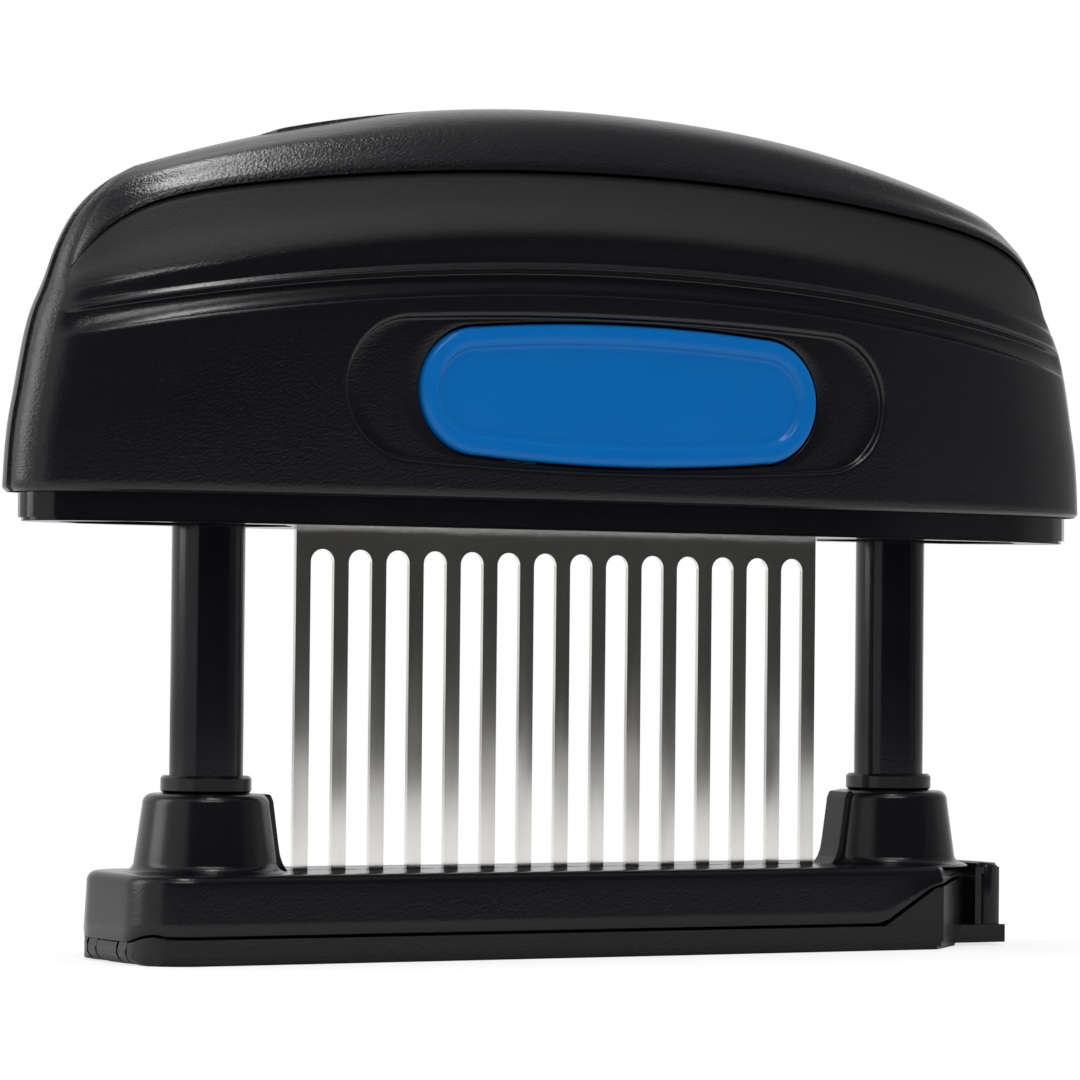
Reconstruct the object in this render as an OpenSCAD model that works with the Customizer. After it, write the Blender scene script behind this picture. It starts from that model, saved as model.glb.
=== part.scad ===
// Blade meat tenderizer: a pressed comb of blades in a sprung handle on two columns.
// Millimetres. +X along the handle, -Y is the side with the button, +Z up.
// The origin is on the table, under the middle of the handle.

/* [Handle] */
// Length of the handle
handle_len = 146; // [144:1:152]
// Thickness of the handle at its skirt
handle_w = 27.2; // [26.8:0.2:29]
// Height of the shell, from its seam with the carrier to the crown
handle_h = 47.6; // [46.6:0.2:50]
// Radius of the arch along the crown
crown_r = 177; // [165:1:200]
// Height of the seam between shell and carrier
seam_z = 53.4; // [53.2:0.1:53.8]
// Wall of the shell
shell_wall = 2.2; // [1.8:0.1:2.5]
// Depth of the finger groove
groove_depth = 1.5; // [0.8:0.1:1.8]
// Thickness of the soft strip over the crown
strip_t = 1.6; // [1.2:0.1:1.9]
// Half width of the strip where it runs down the ends
band_half = 4.0; // [3.4:0.2:4.6]

/* [Button] */
// Length of the finger recess
recess_len = 72.8; // [70:0.4:76]
// Height of the finger recess
recess_h = 18.2; // [17.8:0.2:19]
// Depth of the finger recess
recess_depth = 0.9; // [0.5:0.1:1.2]
// Length of the button
button_len = 53.8; // [50:0.2:58]
// Height of the button
button_h = 16.7; // [15:0.1:16.9]
// How far the button goes in
button_travel = 1.8; // [1.2:0.1:2]
// Width of the raised border of the button
border_w = 2.4; // [1.6:0.2:3]

/* [Columns and springs] */
// Distance from the middle of the two columns to a column
column_x = 46.8; // [46:0.2:47.4]
// Where the middle of the two columns lies under the handle
column_mid = -0.9; // [-1.2:0.1:0.4]
// Diameter of a column
column_d = 8.5; // [8.3:0.1:8.7]
// Bore of a column, round the spring
column_bore = 5.6; // [5.4:0.1:5.8]
// Diameter of the bumper ring at the foot of a column
collar_d = 10.5; // [10.1:0.1:12]
// Height of the bumper ring
collar_h = 2.0; // [1.6:0.1:2.1]
// Outer diameter of a return spring
spring_d = 4.9; // [4.6:0.1:5]
// Wire of a return spring
spring_wire = 0.8; // [0.7:0.05:0.9]
// Turns of a return spring
spring_turns = 13; // [8:1:14]

/* [Comb] */
// Number of tines
tine_count = 15; // [11:2:15]
// Distance from tine to tine
tine_pitch = 4.96; // [4.8:0.04:5.04]
// Width of a tine
tine_w = 1.9; // [1.7:0.1:2.1]
// Thickness of the sheet
comb_t = 0.6; // [0.5:0.05:0.7]
// Height of the tips above the table at rest
tip_z = 4.6; // [4.4:0.1:5]
// Length of the ground point of a tine
point_len = 3.2; // [2:0.2:4]

/* [Base] */
// Height of the top of the base
base_top = 10.2; // [10:0.1:10.6]
// Half width of the base
base_half_w = 11.7; // [11.2:0.1:12.2]
// Length of the base to the left of the middle
base_left = 59.2; // [58.8:0.1:60.4]
// Length of the base to the right of the middle, without the latch
base_right = 55.0; // [54.8:0.1:55.4]
// Height of the seam between base and cover
cover_h = 3.0; // [2.9:0.1:3.2]
// Wall of the base
base_wall = 1.6; // [1.4:0.1:1.8]
// Diameter of the hinge pin of the cover
pin_d = 1.3; // [1.1:0.1:1.4]
// Diameter of the top of a column boss
boss_top_d = 14.4; // [13.6:0.2:14.8]
// Diameter of the foot of a column boss
boss_foot_d = 16.4; // [16:0.2:17]

/* [Hidden] */

fit = 0.05;          // radial clearance of a running or seated pair
clear = 0.3;         // gap between pieces that pass each other
stroke_room = 19.1;   // what seat, roof and play take from the shell's height
travel = handle_h - stroke_room;     // stroke of the handle on the columns
handle_top = seam_z + handle_h;
handle_a = handle_len / 2;
handle_b = handle_w / 2;
plan_n = 3.2;        // how square the handle's plan is along X
plan_m = 2.2;        // and across Y
round_fn = 64;

// places what stands on the columns, or lines up with them
module on_columns() translate([column_mid, 0, 0]) children();

// plan of the handle: x and half width, and the outward normal there
function plan_y(x, a, b) = b * pow(1 - min(1, pow(abs(x) / a, plan_n)), 1 / plan_m);
function plan_normal(x, y) =
    let (gx = sign(x) * plan_n / handle_a * pow(abs(x) / handle_a, plan_n - 1),
         gy = sign(y) * plan_m / handle_b * pow(abs(y) / handle_b, plan_m - 1),
         g = max(1e-6, norm([gx, gy])))
    [gx / g, gy / g];

module plan_2d(inset) {
    a = handle_a - inset;
    b = handle_b - inset;
    steps = [for (u = [-90 : 7.5 : 90]) sin(u) * a];
    polygon(concat([for (x = steps) [x, -plan_y(x, a, b)]],
                   [for (k = [len(steps) - 2 : -1 : 1]) [steps[k], plan_y(steps[k], a, b)]]));
}

module plan_slab(inset, z0, z1) {
    translate([0, 0, z0]) linear_extrude(z1 - z0) plan_2d(inset);
}

// ---- moulded handle: rings round the plan, from the seam up to the crown ----
groove_z = seam_z + 0.504 * handle_h;    // lower edge of the finger groove at mid length
ridge_z = seam_z + 0.584 * handle_h;
facet_z = seam_z + 0.662 * handle_h;
lip_z = seam_z + 0.815 * handle_h;       // lower edge of the soft strip
button_z = seam_z + 0.265 * handle_h;
ridge_in = 0.9;                  // the ridge above the groove stands back from the skirt
facet_in = 1.2;
lip_in = 4.0;
facet_corner = 6.6;              // height of the facet's rounded corner at each end
corner_sharp = 15.5;
spine_share = 0.79;              // the crown's spine ends short of the tips
spine_end = handle_a * spine_share;
crown_drop = spine_end * spine_end / (2 * crown_r);
end_lean = 2.0;                  // how far the ends lean in between seam and groove

// a ring is [height at mid length, drop towards the tips, x share, inset of the side,
//            sideways part and upright part of the strip's thickness, share of the groove,
//            how far it turns down at the facet's rounded corner]
body_rings = [
    [seam_z,          0,   handle_a - 0.5,             0.5,          1,   0,   0,    0],
    [seam_z + 0.5,    0,   handle_a,                   0,            1,   0,   0,    0],
    [seam_z + 6,      0,   handle_a - end_lean * 0.15, 0,            1,   0,   0,    0],
    [seam_z + 14,     2.5, handle_a - end_lean * 0.6,  0,            1,   0,   0,    0],
    [groove_z - 0.5,  7.1, handle_a - end_lean,        0.1,          1,   0,   0,    0],
    [groove_z,        7.2, handle_a - end_lean - 0.2,  0.15,         1,   0,   0.13, 0],
    [groove_z + 0.4,  7.2, handle_a - end_lean - 0.3,  0.2,          1,   0,   0.68, 0],
    [groove_z + 1.7,  7.2, handle_a - end_lean - 0.5,  0.4,          1,   0,   0.93, 0],
    [ridge_z - 0.7,   7.3, handle_a - end_lean - 0.9,  ridge_in - 0.1, 1, 0.1, 0.4,  0],
    [ridge_z + 0.2,   7.4, handle_a - end_lean - 1.1,  ridge_in,     1,   0.1, 0,    0],
    [facet_z - 1.2,   8.1, handle_a - end_lean - 1.7,  ridge_in,     1,   0.1, 0,    0],
    [facet_z,         8.5, handle_a - end_lean - 2.3,  facet_in,     1,   0.2, 0,    0],
    [(facet_z + lip_z) / 2, 7.9, handle_a - end_lean - 2.6, (facet_in + lip_in) / 2 + 0.1, 1, 0.3, 0,
     facet_corner / 2],
    [lip_z,           7.2, handle_a - end_lean - 2.8,  lip_in,       1,   0.4, 0,    facet_corner]];
crown_rings = [
    [lip_z + 0.3,     7.2, handle_a - end_lean - 3.0,  lip_in - 0.5, 1,   0,   0,    facet_corner],
    [lip_z + 1.2,     7.4, handle_a - end_lean - 3.3,  lip_in - 0.5, 1,   0.2, 0,    facet_corner * 0.9],
    [handle_top - 5.4, 8.6, handle_a - 8.2,            4.6,          0.9, 0.5, 0,    facet_corner * 0.2],
    [handle_top - 3.1, 9.3, handle_a - 10.7,           6.3,          0.7, 0.8, 0,    facet_corner * 0.1],
    [handle_top - 1.2, 10,  handle_a - 13.1,           9.0,          0.4, 1,   0,    0],
    [handle_top - 0.3, 10,  spine_end + 0.7,           11.6,         0.1, 1,   0,    0],
    [handle_top,      crown_drop, spine_end,           handle_b,     0,   1,   0,    0]];

// meridians: angles from the middle to a tip, closer together at the tip, with the
// two sides of the strip's edge as a pair
band_u = asin(pow(1 - pow(band_half / handle_b, plan_m), 1 / plan_n));
quarter = [8, 16, 24, 32, 40, 47, 54, 60, 65, 70, 74.5, band_u - 0.15, band_u + 0.15,
           (band_u * 2 + 90) / 3, (band_u + 180) / 3];
q_n = len(quarter);
front_u = concat([-90], [for (k = [q_n - 1 : -1 : 0]) -quarter[k]], [0], quarter, [90]);
m_n = len(front_u) - 1;          // steps along one side, tip to tip
ring_n = 2 * m_n;
function ring_u(i) = front_u[i <= m_n ? i : ring_n - i];
function in_band(i) = abs(ring_u(i)) > band_u;
// the groove runs out over its last part, just short of the end bands
groove_run_out = 0.05;
function groove_left(s) =
    let (t = max(0, min(1, (sin(band_u) - abs(s)) / groove_run_out))) groove_depth * t * (2 - t);
// 0 along the middle, rising to 1 where the facet ends at the band
function corner_turn(s) = pow(min(1, abs(s) / sin(band_u)), corner_sharp);
function ring_point(i, r, under) =
    let (u = ring_u(i), s = sin(u),
         y0 = (i == 0 || i == m_n ? 0 : plan_y(s * handle_a, handle_a, handle_b)),
         side = i <= m_n ? -1 : 1,
         x = s * r[2], y = side * y0 * (handle_b - r[3] - r[6] * groove_left(s)) / handle_b,
         n = plan_normal(s * handle_a, side * y0), d = under)
    [x - n[0] * r[4] * d, y - (abs(y0) < 0.01 ? 0 : n[1] * min(r[4] * d, abs(y))),
     r[0] - r[1] * s * s - r[7] * corner_turn(s) - r[5] * d];

// the shell's own skin lies under the strip wherever the strip covers it
seat = strip_t + fit;
cavity_in = shell_wall + 0.6;
shell_rings = concat(body_rings, crown_rings);
function shell_point(i, j) =
    let (r = shell_rings[j])
    ring_point(i, r, (j >= len(body_rings) || in_band(i)) ? seat : 0);

// triangles of a closed dome over rings j0..j1, whose last ring is a crease on y = 0
function dome_index(i, j, top) =
    let (k = (i + ring_n) % ring_n) j * ring_n + (j == top && k > m_n ? ring_n - k : k);
function not_flat(t) = t[0] != t[1] && t[1] != t[2] && t[0] != t[2];

module shell_outer() {
    top = len(shell_rings) - 1;
    points = [for (j = [0 : top], i = [0 : ring_n - 1]) shell_point(i, j)];
    sides = [for (j = [0 : top - 1], i = [0 : ring_n - 1])
        let (a = dome_index(i, j, top), b = dome_index(i + 1, j, top),
             c = dome_index(i + 1, j + 1, top), d = dome_index(i, j + 1, top))
        each [[a, c, b], [a, d, c]]];
    floor_face = [[for (i = [0 : ring_n - 1]) i]];
    polyhedron(points, concat([for (t = sides) if (not_flat(t)) t], floor_face), convexity = 8);
}

module obround(half_len, half_h, bow) {
    r = half_h - bow;
    xe = half_len - r;
    long_side = [for (k = [-4 : 4]) [xe * k / 4, half_h - bow * k * k / 16]];
    right_end = [for (a = [75 : -15 : -75]) [xe + r * cos(a), r * sin(a)]];
    polygon(concat(long_side, right_end, [for (p = long_side) -p], [for (p = right_end) -p]));
}

// a prism of the recess or button outline along Y, from y0 to y1
module side_prism(half_len, half_h, bow, y0, y1) {
    translate([0, y1, button_z]) rotate([90, 0, 0]) linear_extrude(y1 - y0)
        obround(half_len, half_h, bow);
}

recess_bow = 0.9;
button_bow = 0.9;
roof_pad_z = handle_top - 12.5;      // flat pads under the roof, for the spring guides

module handle_shell() color([0.09, 0.09, 0.10]) {
    difference() {
        shell_outer();
        // cavity: three steps that follow the outside
        plan_slab(cavity_in, seam_z - 1, facet_z - 9);
        intersection() {
            plan_slab(shell_wall + 2.2, facet_z - 9.1, facet_z - 3.5);
            translate([0, 0, facet_z]) cube([2 * (handle_a - 12), handle_w, 40], center = true);
        }
        intersection() {
            plan_slab(shell_wall + 4.4, facet_z - 3.6, roof_pad_z);
            translate([0, 0, facet_z]) cube([2 * (column_x - 3.6), handle_w, 40], center = true);
        }
        // room for the towers of the carrier and, above them, for the column tops
        for (x = [-1, 1]) translate([column_mid + x * column_x, 0, seam_z]) {
            cylinder(d = tower_d + 0.8, h = tower_top + 0.7 - seam_z, $fn = round_fn);
            cylinder(d = column_d + 1.5, h = roof_pad_z - seam_z, $fn = round_fn);
        }
        // finger recess, whose floor keeps the curve of the side, and the window in it
        difference() {
            side_prism(recess_len / 2, recess_h / 2, recess_bow, -handle_b - 2, -handle_b / 2);
            plan_slab(recess_depth, seam_z, handle_top);
        }
        side_prism(button_len / 2 + clear, button_h / 2 + clear, button_bow,
                   -handle_b - 2, -handle_b + shell_wall + 2);
    }
    // spigots that carry the button's springs on the far wall
    for (x = [-1, 1]) translate([x * button_spring_x, handle_b - cavity_in + 0.1, button_z])
        rotate([90, 0, 0]) cylinder(d = button_spring_d - 2 * button_wire - 0.6, h = 5, $fn = 24);
}

// ---- soft strip over the crown and down both ends ----
strip_rings = concat(body_rings, crown_rings);
strip_j0 = len(body_rings);
function strip_cell(i, j) = j >= strip_j0 || (in_band(i) && in_band(i + 1));

module grip_strip() color([0.13, 0.13, 0.14]) {
    top = len(strip_rings) - 1;
    layer = ring_n * (top + 1);
    points = [for (d = [0, strip_t], j = [0 : top], i = [0 : ring_n - 1])
        ring_point(i, strip_rings[j], d)];
    quads = [for (j = [0 : top - 1], i = [0 : ring_n - 1]) if (strip_cell(i, j)) [i, j]];
    skin = [for (q = quads)
        let (a = dome_index(q[0], q[1], top), b = dome_index(q[0] + 1, q[1], top),
             c = dome_index(q[0] + 1, q[1] + 1, top), d = dome_index(q[0], q[1] + 1, top))
        each [[a, c, b], [a, d, c],
              [a + layer, b + layer, c + layer], [a + layer, c + layer, d + layer]]];
    // walls along the edge of the strip: below a cell, and at the sides of the end bands
    rims = [for (q = quads)
        let (i = q[0], j = q[1], l = (i + ring_n - 1) % ring_n, r = (i + 1) % ring_n,
             a = dome_index(i, j, top), b = dome_index(i + 1, j, top),
             c = dome_index(i + 1, j + 1, top), d = dome_index(i, j + 1, top))
        each concat(
            (j == 0 || !strip_cell(i, j - 1)) ? [[a, b, b + layer], [a, b + layer, a + layer]] : [],
            !strip_cell(l, j) ? [[d, a, a + layer], [d, a + layer, d + layer]] : [],
            !strip_cell(r, j) ? [[b, c, c + layer], [b, c + layer, b + layer]] : [])];
    polyhedron(points, [for (t = concat(skin, rims)) if (not_flat(t)) t], convexity = 8);
}

// ---- release button, its catch slide and its springs ----
button_face = handle_b - 0.3;        // how far out the raised border stands
flange_t = 1.0;
flange_grow = 1.3;
button_bow_gap = 0.6;                // room for the curve of the wall behind the flange
flange_y = -handle_b + cavity_in + button_bow_gap;
button_spring_x = 12;
button_spring_d = 4.2;
button_wire = 0.6;
slide_t = 1.8;
slide_low = 4.6;                     // how far the slide reaches below the button's middle
slide_y = flange_y + flange_t;       // front face of the catch slide
post_w = 4;
post_x = button_len / 2 + flange_grow + post_w / 2 + 1.2;   // catch posts of the carrier, beside the button
lip_bottom = button_z + 2.8;
lip_h = 1.8;
post_y = slide_y + 0.2;
post_t = 1.4;
lip_reach = 1.3;

module release_button() color([0.02, 0.45, 0.75]) {
    intersection() {
        difference() {
            union() {
                side_prism(button_len / 2, button_h / 2, button_bow, -handle_b - 1, flange_y + 0.1);
                side_prism(button_len / 2 + flange_grow, button_h / 2 + flange_grow, button_bow,
                           flange_y, flange_y + flange_t);
            }
            difference() {
                side_prism(button_len / 2 - border_w, button_h / 2 - border_w, button_bow,
                           -handle_b - 2, -handle_b / 2);
                plan_slab(handle_b - button_face + 0.6, seam_z, handle_top);
            }
        }
        plan_slab(handle_b - button_face, seam_z, handle_top);
    }
}

module catch_slide() color([0.15, 0.15, 0.16]) {
    y1 = slide_y + slide_t;
    arm_z = lip_bottom + lip_h + clear;
    arm_y = post_y + post_t + lip_reach + clear;
    difference() {
        translate([-post_x + post_w / 2 + 1, slide_y, button_z - slide_low])
            cube([2 * (post_x - post_w / 2 - 1), slide_t, arm_z + 2 - button_z + slide_low]);
        for (x = [-1, 1]) translate([x * 5, slide_y - 1, button_z]) rotate([-90, 0, 0])
            cylinder(d = 3, h = slide_t + 2, $fn = 32);
    }
    for (x = [-1, 1]) {
        // spigot for the spring
        translate([x * button_spring_x, y1 - 0.01, button_z]) rotate([-90, 0, 0])
            cylinder(d = button_spring_d - 2 * button_wire - 0.6, h = 1.2, $fn = 24);
        // arm over the catch post, and the tooth that hooks under its lip
        translate([x * (post_x - 1.5) - 3.5, slide_y, arm_z]) cube([7, arm_y + 1.7 - slide_y, 2]);
        translate([x * post_x - 2, arm_y, lip_bottom - clear - 2]) cube([4, 1.7, arm_z - lip_bottom + clear + 3]);
        translate([x * post_x - 2, arm_y - lip_reach, lip_bottom - clear - 2]) cube([4, lip_reach + 0.5, 2]);
    }
}

// a round wire wound on a helix along +Z: one tube with straight ends
coil_sides = 6;
coil_rings = 8;
module coil(outer_d, wire, length, turns) {
    r = (outer_d - wire) / 2;
    rings = turns * coil_rings;
    low = wire / 2;
    high = length - wire / 2;
    step = 360 / coil_rings;
    path = concat([[r, -wire, low]],
        [for (k = [0 : rings]) [r * cos(k * step), r * sin(k * step), low + (high - low) * k / rings]],
        [[r, wire, high]]);
    n = len(path);
    out = [for (k = [0 : n - 1]) let (a = (min(max(k, 1), n - 2) - 1) * step) [cos(a), sin(a), 0]];
    points = [for (k = [0 : n - 1], q = [0 : coil_sides - 1])
        path[k] + wire / 2 * (out[k] * cos(q * 60) + [0, 0, 1] * sin(q * 60))];
    skin = [for (k = [0 : n - 2], q = [0 : coil_sides - 1])
        let (a = k * coil_sides + q, b = k * coil_sides + (q + 1) % coil_sides)
        each [[a, b, b + coil_sides], [a, b + coil_sides, a + coil_sides]]];
    last = (n - 1) * coil_sides;
    polyhedron(points, concat(skin, [[for (q = [coil_sides - 1 : -1 : 0]) q]],
        [[for (q = [0 : coil_sides - 1]) last + q]]), convexity = 10);
    echo("gap between two curls", (high - low) / turns - wire);
}

button_spring_end = handle_b - cavity_in - 0.1;
button_spring_len = button_spring_end - (slide_y + slide_t + button_travel);
module button_springs() color([0.7, 0.7, 0.72])
    for (x = [-1, 1]) translate([x * button_spring_x, button_spring_end, button_z])
        rotate([90, 0, 0]) coil(button_spring_d, button_wire, button_spring_len, 7);

// ---- carrier: the inset plate under the handle, its towers and catch posts ----
carrier_inset = 1.8;
carrier_h = 3.3;                     // what shows of it below the seam
carrier_z = seam_z - carrier_h;
carrier_top = seam_z + 2.6;
bush_d = 11.0;
ring_d = 10.4;                       // stop ring on a column, slides in the tower
tower_d = ring_d + 0.4 + 2.6;
tower_top = carrier_top + travel + 1.2;
slot_play = 0.12;
pocket_depth = 1.2;
bush_z = carrier_z + pocket_depth + 0.7;

module pocket_2d() {
    half = 6.6;
    polygon([[column_x - 10.8, 0], [column_x - 6.5, -half], [column_x + 13.4, -half],
             [column_x + 19, 0], [column_x + 13.4, half], [column_x - 6.5, half]]);
}

module carrier_plate() color([0.08, 0.08, 0.09]) difference() {
    union() {
        plan_slab(carrier_inset + 0.4, carrier_z, carrier_z + 0.41);
        plan_slab(carrier_inset, carrier_z + 0.4, seam_z);
        plan_slab(cavity_in + clear, seam_z - 0.01, carrier_top);
        for (x = [-1, 1]) translate([column_mid + x * column_x, 0, carrier_top - 0.01])
            cylinder(d = tower_d, h = tower_top - carrier_top, $fn = round_fn);
        for (x = [-1, 1]) {
            translate([x * post_x - post_w / 2, post_y, carrier_top - 0.01])
                cube([post_w, post_t, lip_bottom + lip_h - carrier_top]);
            translate([x * post_x - post_w / 2, post_y, lip_bottom])
                cube([post_w, post_t + lip_reach, lip_h]);
        }
    }
    on_columns() {
        for (x = [-1, 1]) {
            translate([x * column_x, 0, carrier_z - 1])
                cylinder(d = column_d + 2 * clear, h = carrier_top - carrier_z, $fn = round_fn);
            translate([x * column_x, 0, bush_z])
                cylinder(d = bush_d, h = tower_top, $fn = round_fn);
            mirror([x < 0 ? 1 : 0, 0, 0]) translate([0, 0, carrier_z - 1])
                linear_extrude(pocket_depth + 1) pocket_2d();
        }
        translate([-comb_half - slot_play, -comb_t / 2 - slot_play, carrier_z - 1])
            cube([2 * (comb_half + slot_play), comb_t + 2 * slot_play, carrier_top]);
        for (x = bar_screw_x) for (y = [-1, 1]) translate([x, y * bar_screw_y, carrier_top - bar_screw_bite - clear])
            cylinder(d = screw_d + 2 * fit, h = carrier_top, $fn = 32);
    }
}

// ---- comb: one stamped sheet ----
comb_half = (tine_count - 1) * tine_pitch / 2 + tine_w / 2;
slot_top = carrier_z - 2.5;          // round tops of the gaps between tines
comb_top = carrier_top + 6;
screw_d = 2.4;
clamp_head_d = 4.2;
bar_head_d = 3.6;
bar_screw_bite = 2.6;                // how far a bar screw reaches into the carrier
clamp_screw_x = [-27.5, -9, 9, 27.5];
bar_screw_x = [-18, 18];

module comb_blade() color([0.75, 0.76, 0.78]) on_columns() difference() {
    translate([0, comb_t / 2, 0]) rotate([90, 0, 0]) linear_extrude(comb_t) difference() {
        union() {
            translate([-comb_half, slot_top - 3]) square([2 * comb_half, comb_top - slot_top + 3]);
            for (k = [0 : tine_count - 1])
                translate([(k - (tine_count - 1) / 2) * tine_pitch, 0])
                    polygon([[-tine_w / 2, slot_top], [-tine_w / 2, tip_z + point_len],
                             [-0.15, tip_z], [0.15, tip_z], [tine_w / 2, tip_z + point_len],
                             [tine_w / 2, slot_top]]);
        }
        gap = tine_pitch - tine_w;
        for (k = [0 : tine_count - 2])
            translate([(k - (tine_count - 2) / 2) * tine_pitch, 0]) {
                translate([0, slot_top - gap / 2]) circle(d = gap, $fn = 32);
                translate([-gap / 2, slot_top - gap / 2 - 5]) square([gap, 5]);
            }
        for (x = clamp_screw_x) translate([x, clamp_screw_z]) circle(d = screw_d + 2 * fit, $fn = 32);
    }
}

// ---- clamp bars and their screws ----
bar_t = 4.0;
bar_h = comb_top - carrier_top - 0.4;
bar_half = comb_half - 1.5;
bar_screw_y = comb_t / 2 + fit + bar_t / 2;
clamp_screw_z = carrier_top + bar_h / 2;

module clamp_bar(side) difference() {
    translate([-bar_half, side > 0 ? comb_t / 2 + fit : -comb_t / 2 - fit - bar_t, carrier_top])
        cube([2 * bar_half, bar_t, bar_h]);
    for (x = clamp_screw_x) translate([x, -20, clamp_screw_z]) rotate([-90, 0, 0])
        cylinder(d = screw_d + 2 * fit, h = 40, $fn = 32);
    for (x = bar_screw_x) translate([x, side * bar_screw_y, carrier_top - 1])
        cylinder(d = screw_d + 2 * fit, h = bar_h + 2, $fn = 32);
}
module clamp_bar_front() color([0.2, 0.2, 0.22]) on_columns() clamp_bar(-1);
module clamp_bar_rear() color([0.2, 0.2, 0.22]) on_columns() clamp_bar(1);

module screw(shank, head_d) {
    difference() {
        union() {
            translate([0, 0, -0.5]) cylinder(d = screw_d, h = shank + 0.5, $fn = 32);
            translate([0, 0, -1.4]) cylinder(d = head_d, h = 1.4, $fn = 32);
        }
        for (a = [0, 90]) rotate([0, 0, a]) translate([-1.1, -0.25, -1.5]) cube([2.2, 0.5, 0.8]);
    }
}

module clamp_screws() color([0.72, 0.72, 0.74]) on_columns()
    for (x = clamp_screw_x) translate([x, -comb_t / 2 - 2 * fit - bar_t, clamp_screw_z])
        rotate([-90, 0, 0]) screw(2 * bar_t + comb_t, clamp_head_d);

module bar_screws() color([0.72, 0.72, 0.74]) on_columns()
    for (x = bar_screw_x) for (y = [-1, 1])
        translate([x, y * bar_screw_y, carrier_top + bar_h + fit])
            rotate([180, 0, 0]) screw(bar_h + bar_screw_bite, bar_head_d);

// ---- bushes, spring guides, columns ----
module column_bushes() color([0.85, 0.84, 0.8]) on_columns() for (x = [-1, 1])
    translate([x * column_x, 0, 0]) difference() {
        translate([0, 0, bush_z])
            cylinder(d = bush_d - 2 * fit, h = carrier_top - 0.1 - bush_z, $fn = round_fn);
        cylinder(d = column_d + 2 * fit, h = 200, $fn = round_fn);
    }

guide_stem_d = spring_d - 2 * spring_wire - 0.5;
guide_flange_t = 1.4;
guide_flange_d = column_d - 1.5;
guide_len = travel * 0.56;
spring_top = roof_pad_z - guide_flange_t;
module spring_guides() color([0.85, 0.84, 0.8]) on_columns() for (x = [-1, 1])
    translate([x * column_x, 0, 0]) {
        translate([0, 0, spring_top]) cylinder(d = guide_flange_d, h = guide_flange_t - fit, $fn = 48);
        translate([0, 0, spring_top - guide_len])
            cylinder(d = guide_stem_d, h = guide_len + guide_flange_t / 2, $fn = 32);
    }

socket_z = base_top - 3.2;           // floor of the socket in a boss
column_top = carrier_top + 2.2;
bore_floor = socket_z + 6;
ring_z = carrier_top + 0.2;
ring_t = 1.0;
ring_groove = 0.6;
module column(x) translate([x, 0, 0]) difference() {
    translate([0, 0, socket_z]) cylinder(d = column_d, h = column_top - socket_z, $fn = round_fn);
    translate([0, 0, bore_floor]) cylinder(d = column_bore, h = 100, $fn = round_fn);
    translate([0, 0, socket_z - 1]) cylinder(d = screw_d + 2 * fit, h = 6, $fn = 32);
    translate([0, 0, ring_z]) difference() {
        cylinder(d = column_d + 2, h = ring_t, $fn = round_fn);
        translate([0, 0, -1]) cylinder(d = column_d - 2 * ring_groove, h = 4, $fn = round_fn);
    }
}
module column_left() color([0.07, 0.07, 0.08]) on_columns() column(-column_x);
module column_right() color([0.07, 0.07, 0.08]) on_columns() column(column_x);

module stop_rings() color([0.7, 0.7, 0.72]) on_columns() for (x = [-1, 1])
    translate([x * column_x, 0, ring_z + fit]) difference() {
        cylinder(d = ring_d, h = ring_t - 2 * fit, $fn = round_fn);
        translate([0, 0, -1]) cylinder(d = column_d - 2 * ring_groove + 2 * fit, h = 4, $fn = round_fn);
    }

boss_z = base_top + 9;               // top of a column boss
module column_collars() color([0.1, 0.1, 0.1]) on_columns() for (x = [-1, 1])
    translate([x * column_x, 0, boss_z + fit]) difference() {
        rotate_extrude($fn = round_fn) polygon([[0, 0], [collar_d / 2 - 0.3, 0], [collar_d / 2, 0.3],
            [collar_d / 2, collar_h - 0.3], [collar_d / 2 - 0.3, collar_h], [0, collar_h]]);
        translate([0, 0, -1]) cylinder(d = column_d + 2 * fit, h = 10, $fn = round_fn);
    }

module column_screws() color([0.72, 0.72, 0.74]) on_columns() for (x = [-1, 1])
    translate([x * column_x, 0, head_seat]) screw(socket_z - head_seat + 4.5, 4.4);

spring_gap = 0.1;
module return_spring(x) translate([x, 0, bore_floor + spring_gap])
    coil(spring_d, spring_wire, spring_top - bore_floor - 2 * spring_gap, spring_turns);
module return_spring_left() color([0.7, 0.7, 0.72]) on_columns() return_spring(-column_x);
module return_spring_right() color([0.7, 0.7, 0.72]) on_columns() return_spring(column_x);

// ---- base ----
seam_gap = 0.3;
head_seat = cover_h + seam_gap + 1.75;
end_r = 7;                           // round corners at the left end
chamfer_x = 7.6;                     // the right end is cut off at its corners
chamfer_y = 7.1;
under_z = cover_h + seam_gap;        // underside of the base over the cover
deck_z = base_top - base_wall;       // underside of the deck
pillar_d = column_d + 2.2;
pin_x = -base_left + 1.65;
pin_z = 1.65;
knuckle_r = 1.6;
lug_y = 3;                           // the two lugs of the base that hold the pin
lug_w = 2.2;
latch_x = base_right + 1.3;
latch_half = 5.4;
latch_t = 4.3;

module base_plan(inset) offset(delta = -inset) polygon(concat(
    [[base_right - chamfer_x, -base_half_w], [base_right, chamfer_y - base_half_w],
     [base_right, base_half_w - chamfer_y], [base_right - chamfer_x, base_half_w]],
    [for (a = [90 : 7.5 : 180]) [end_r - base_left + end_r * cos(a), base_half_w - end_r + end_r * sin(a)]],
    [for (a = [180 : 7.5 : 270]) [end_r - base_left + end_r * cos(a), end_r - base_half_w + end_r * sin(a)]]));

module base_slab(inset, z0, z1) translate([0, 0, z0]) linear_extrude(z1 - z0) base_plan(inset);

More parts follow.
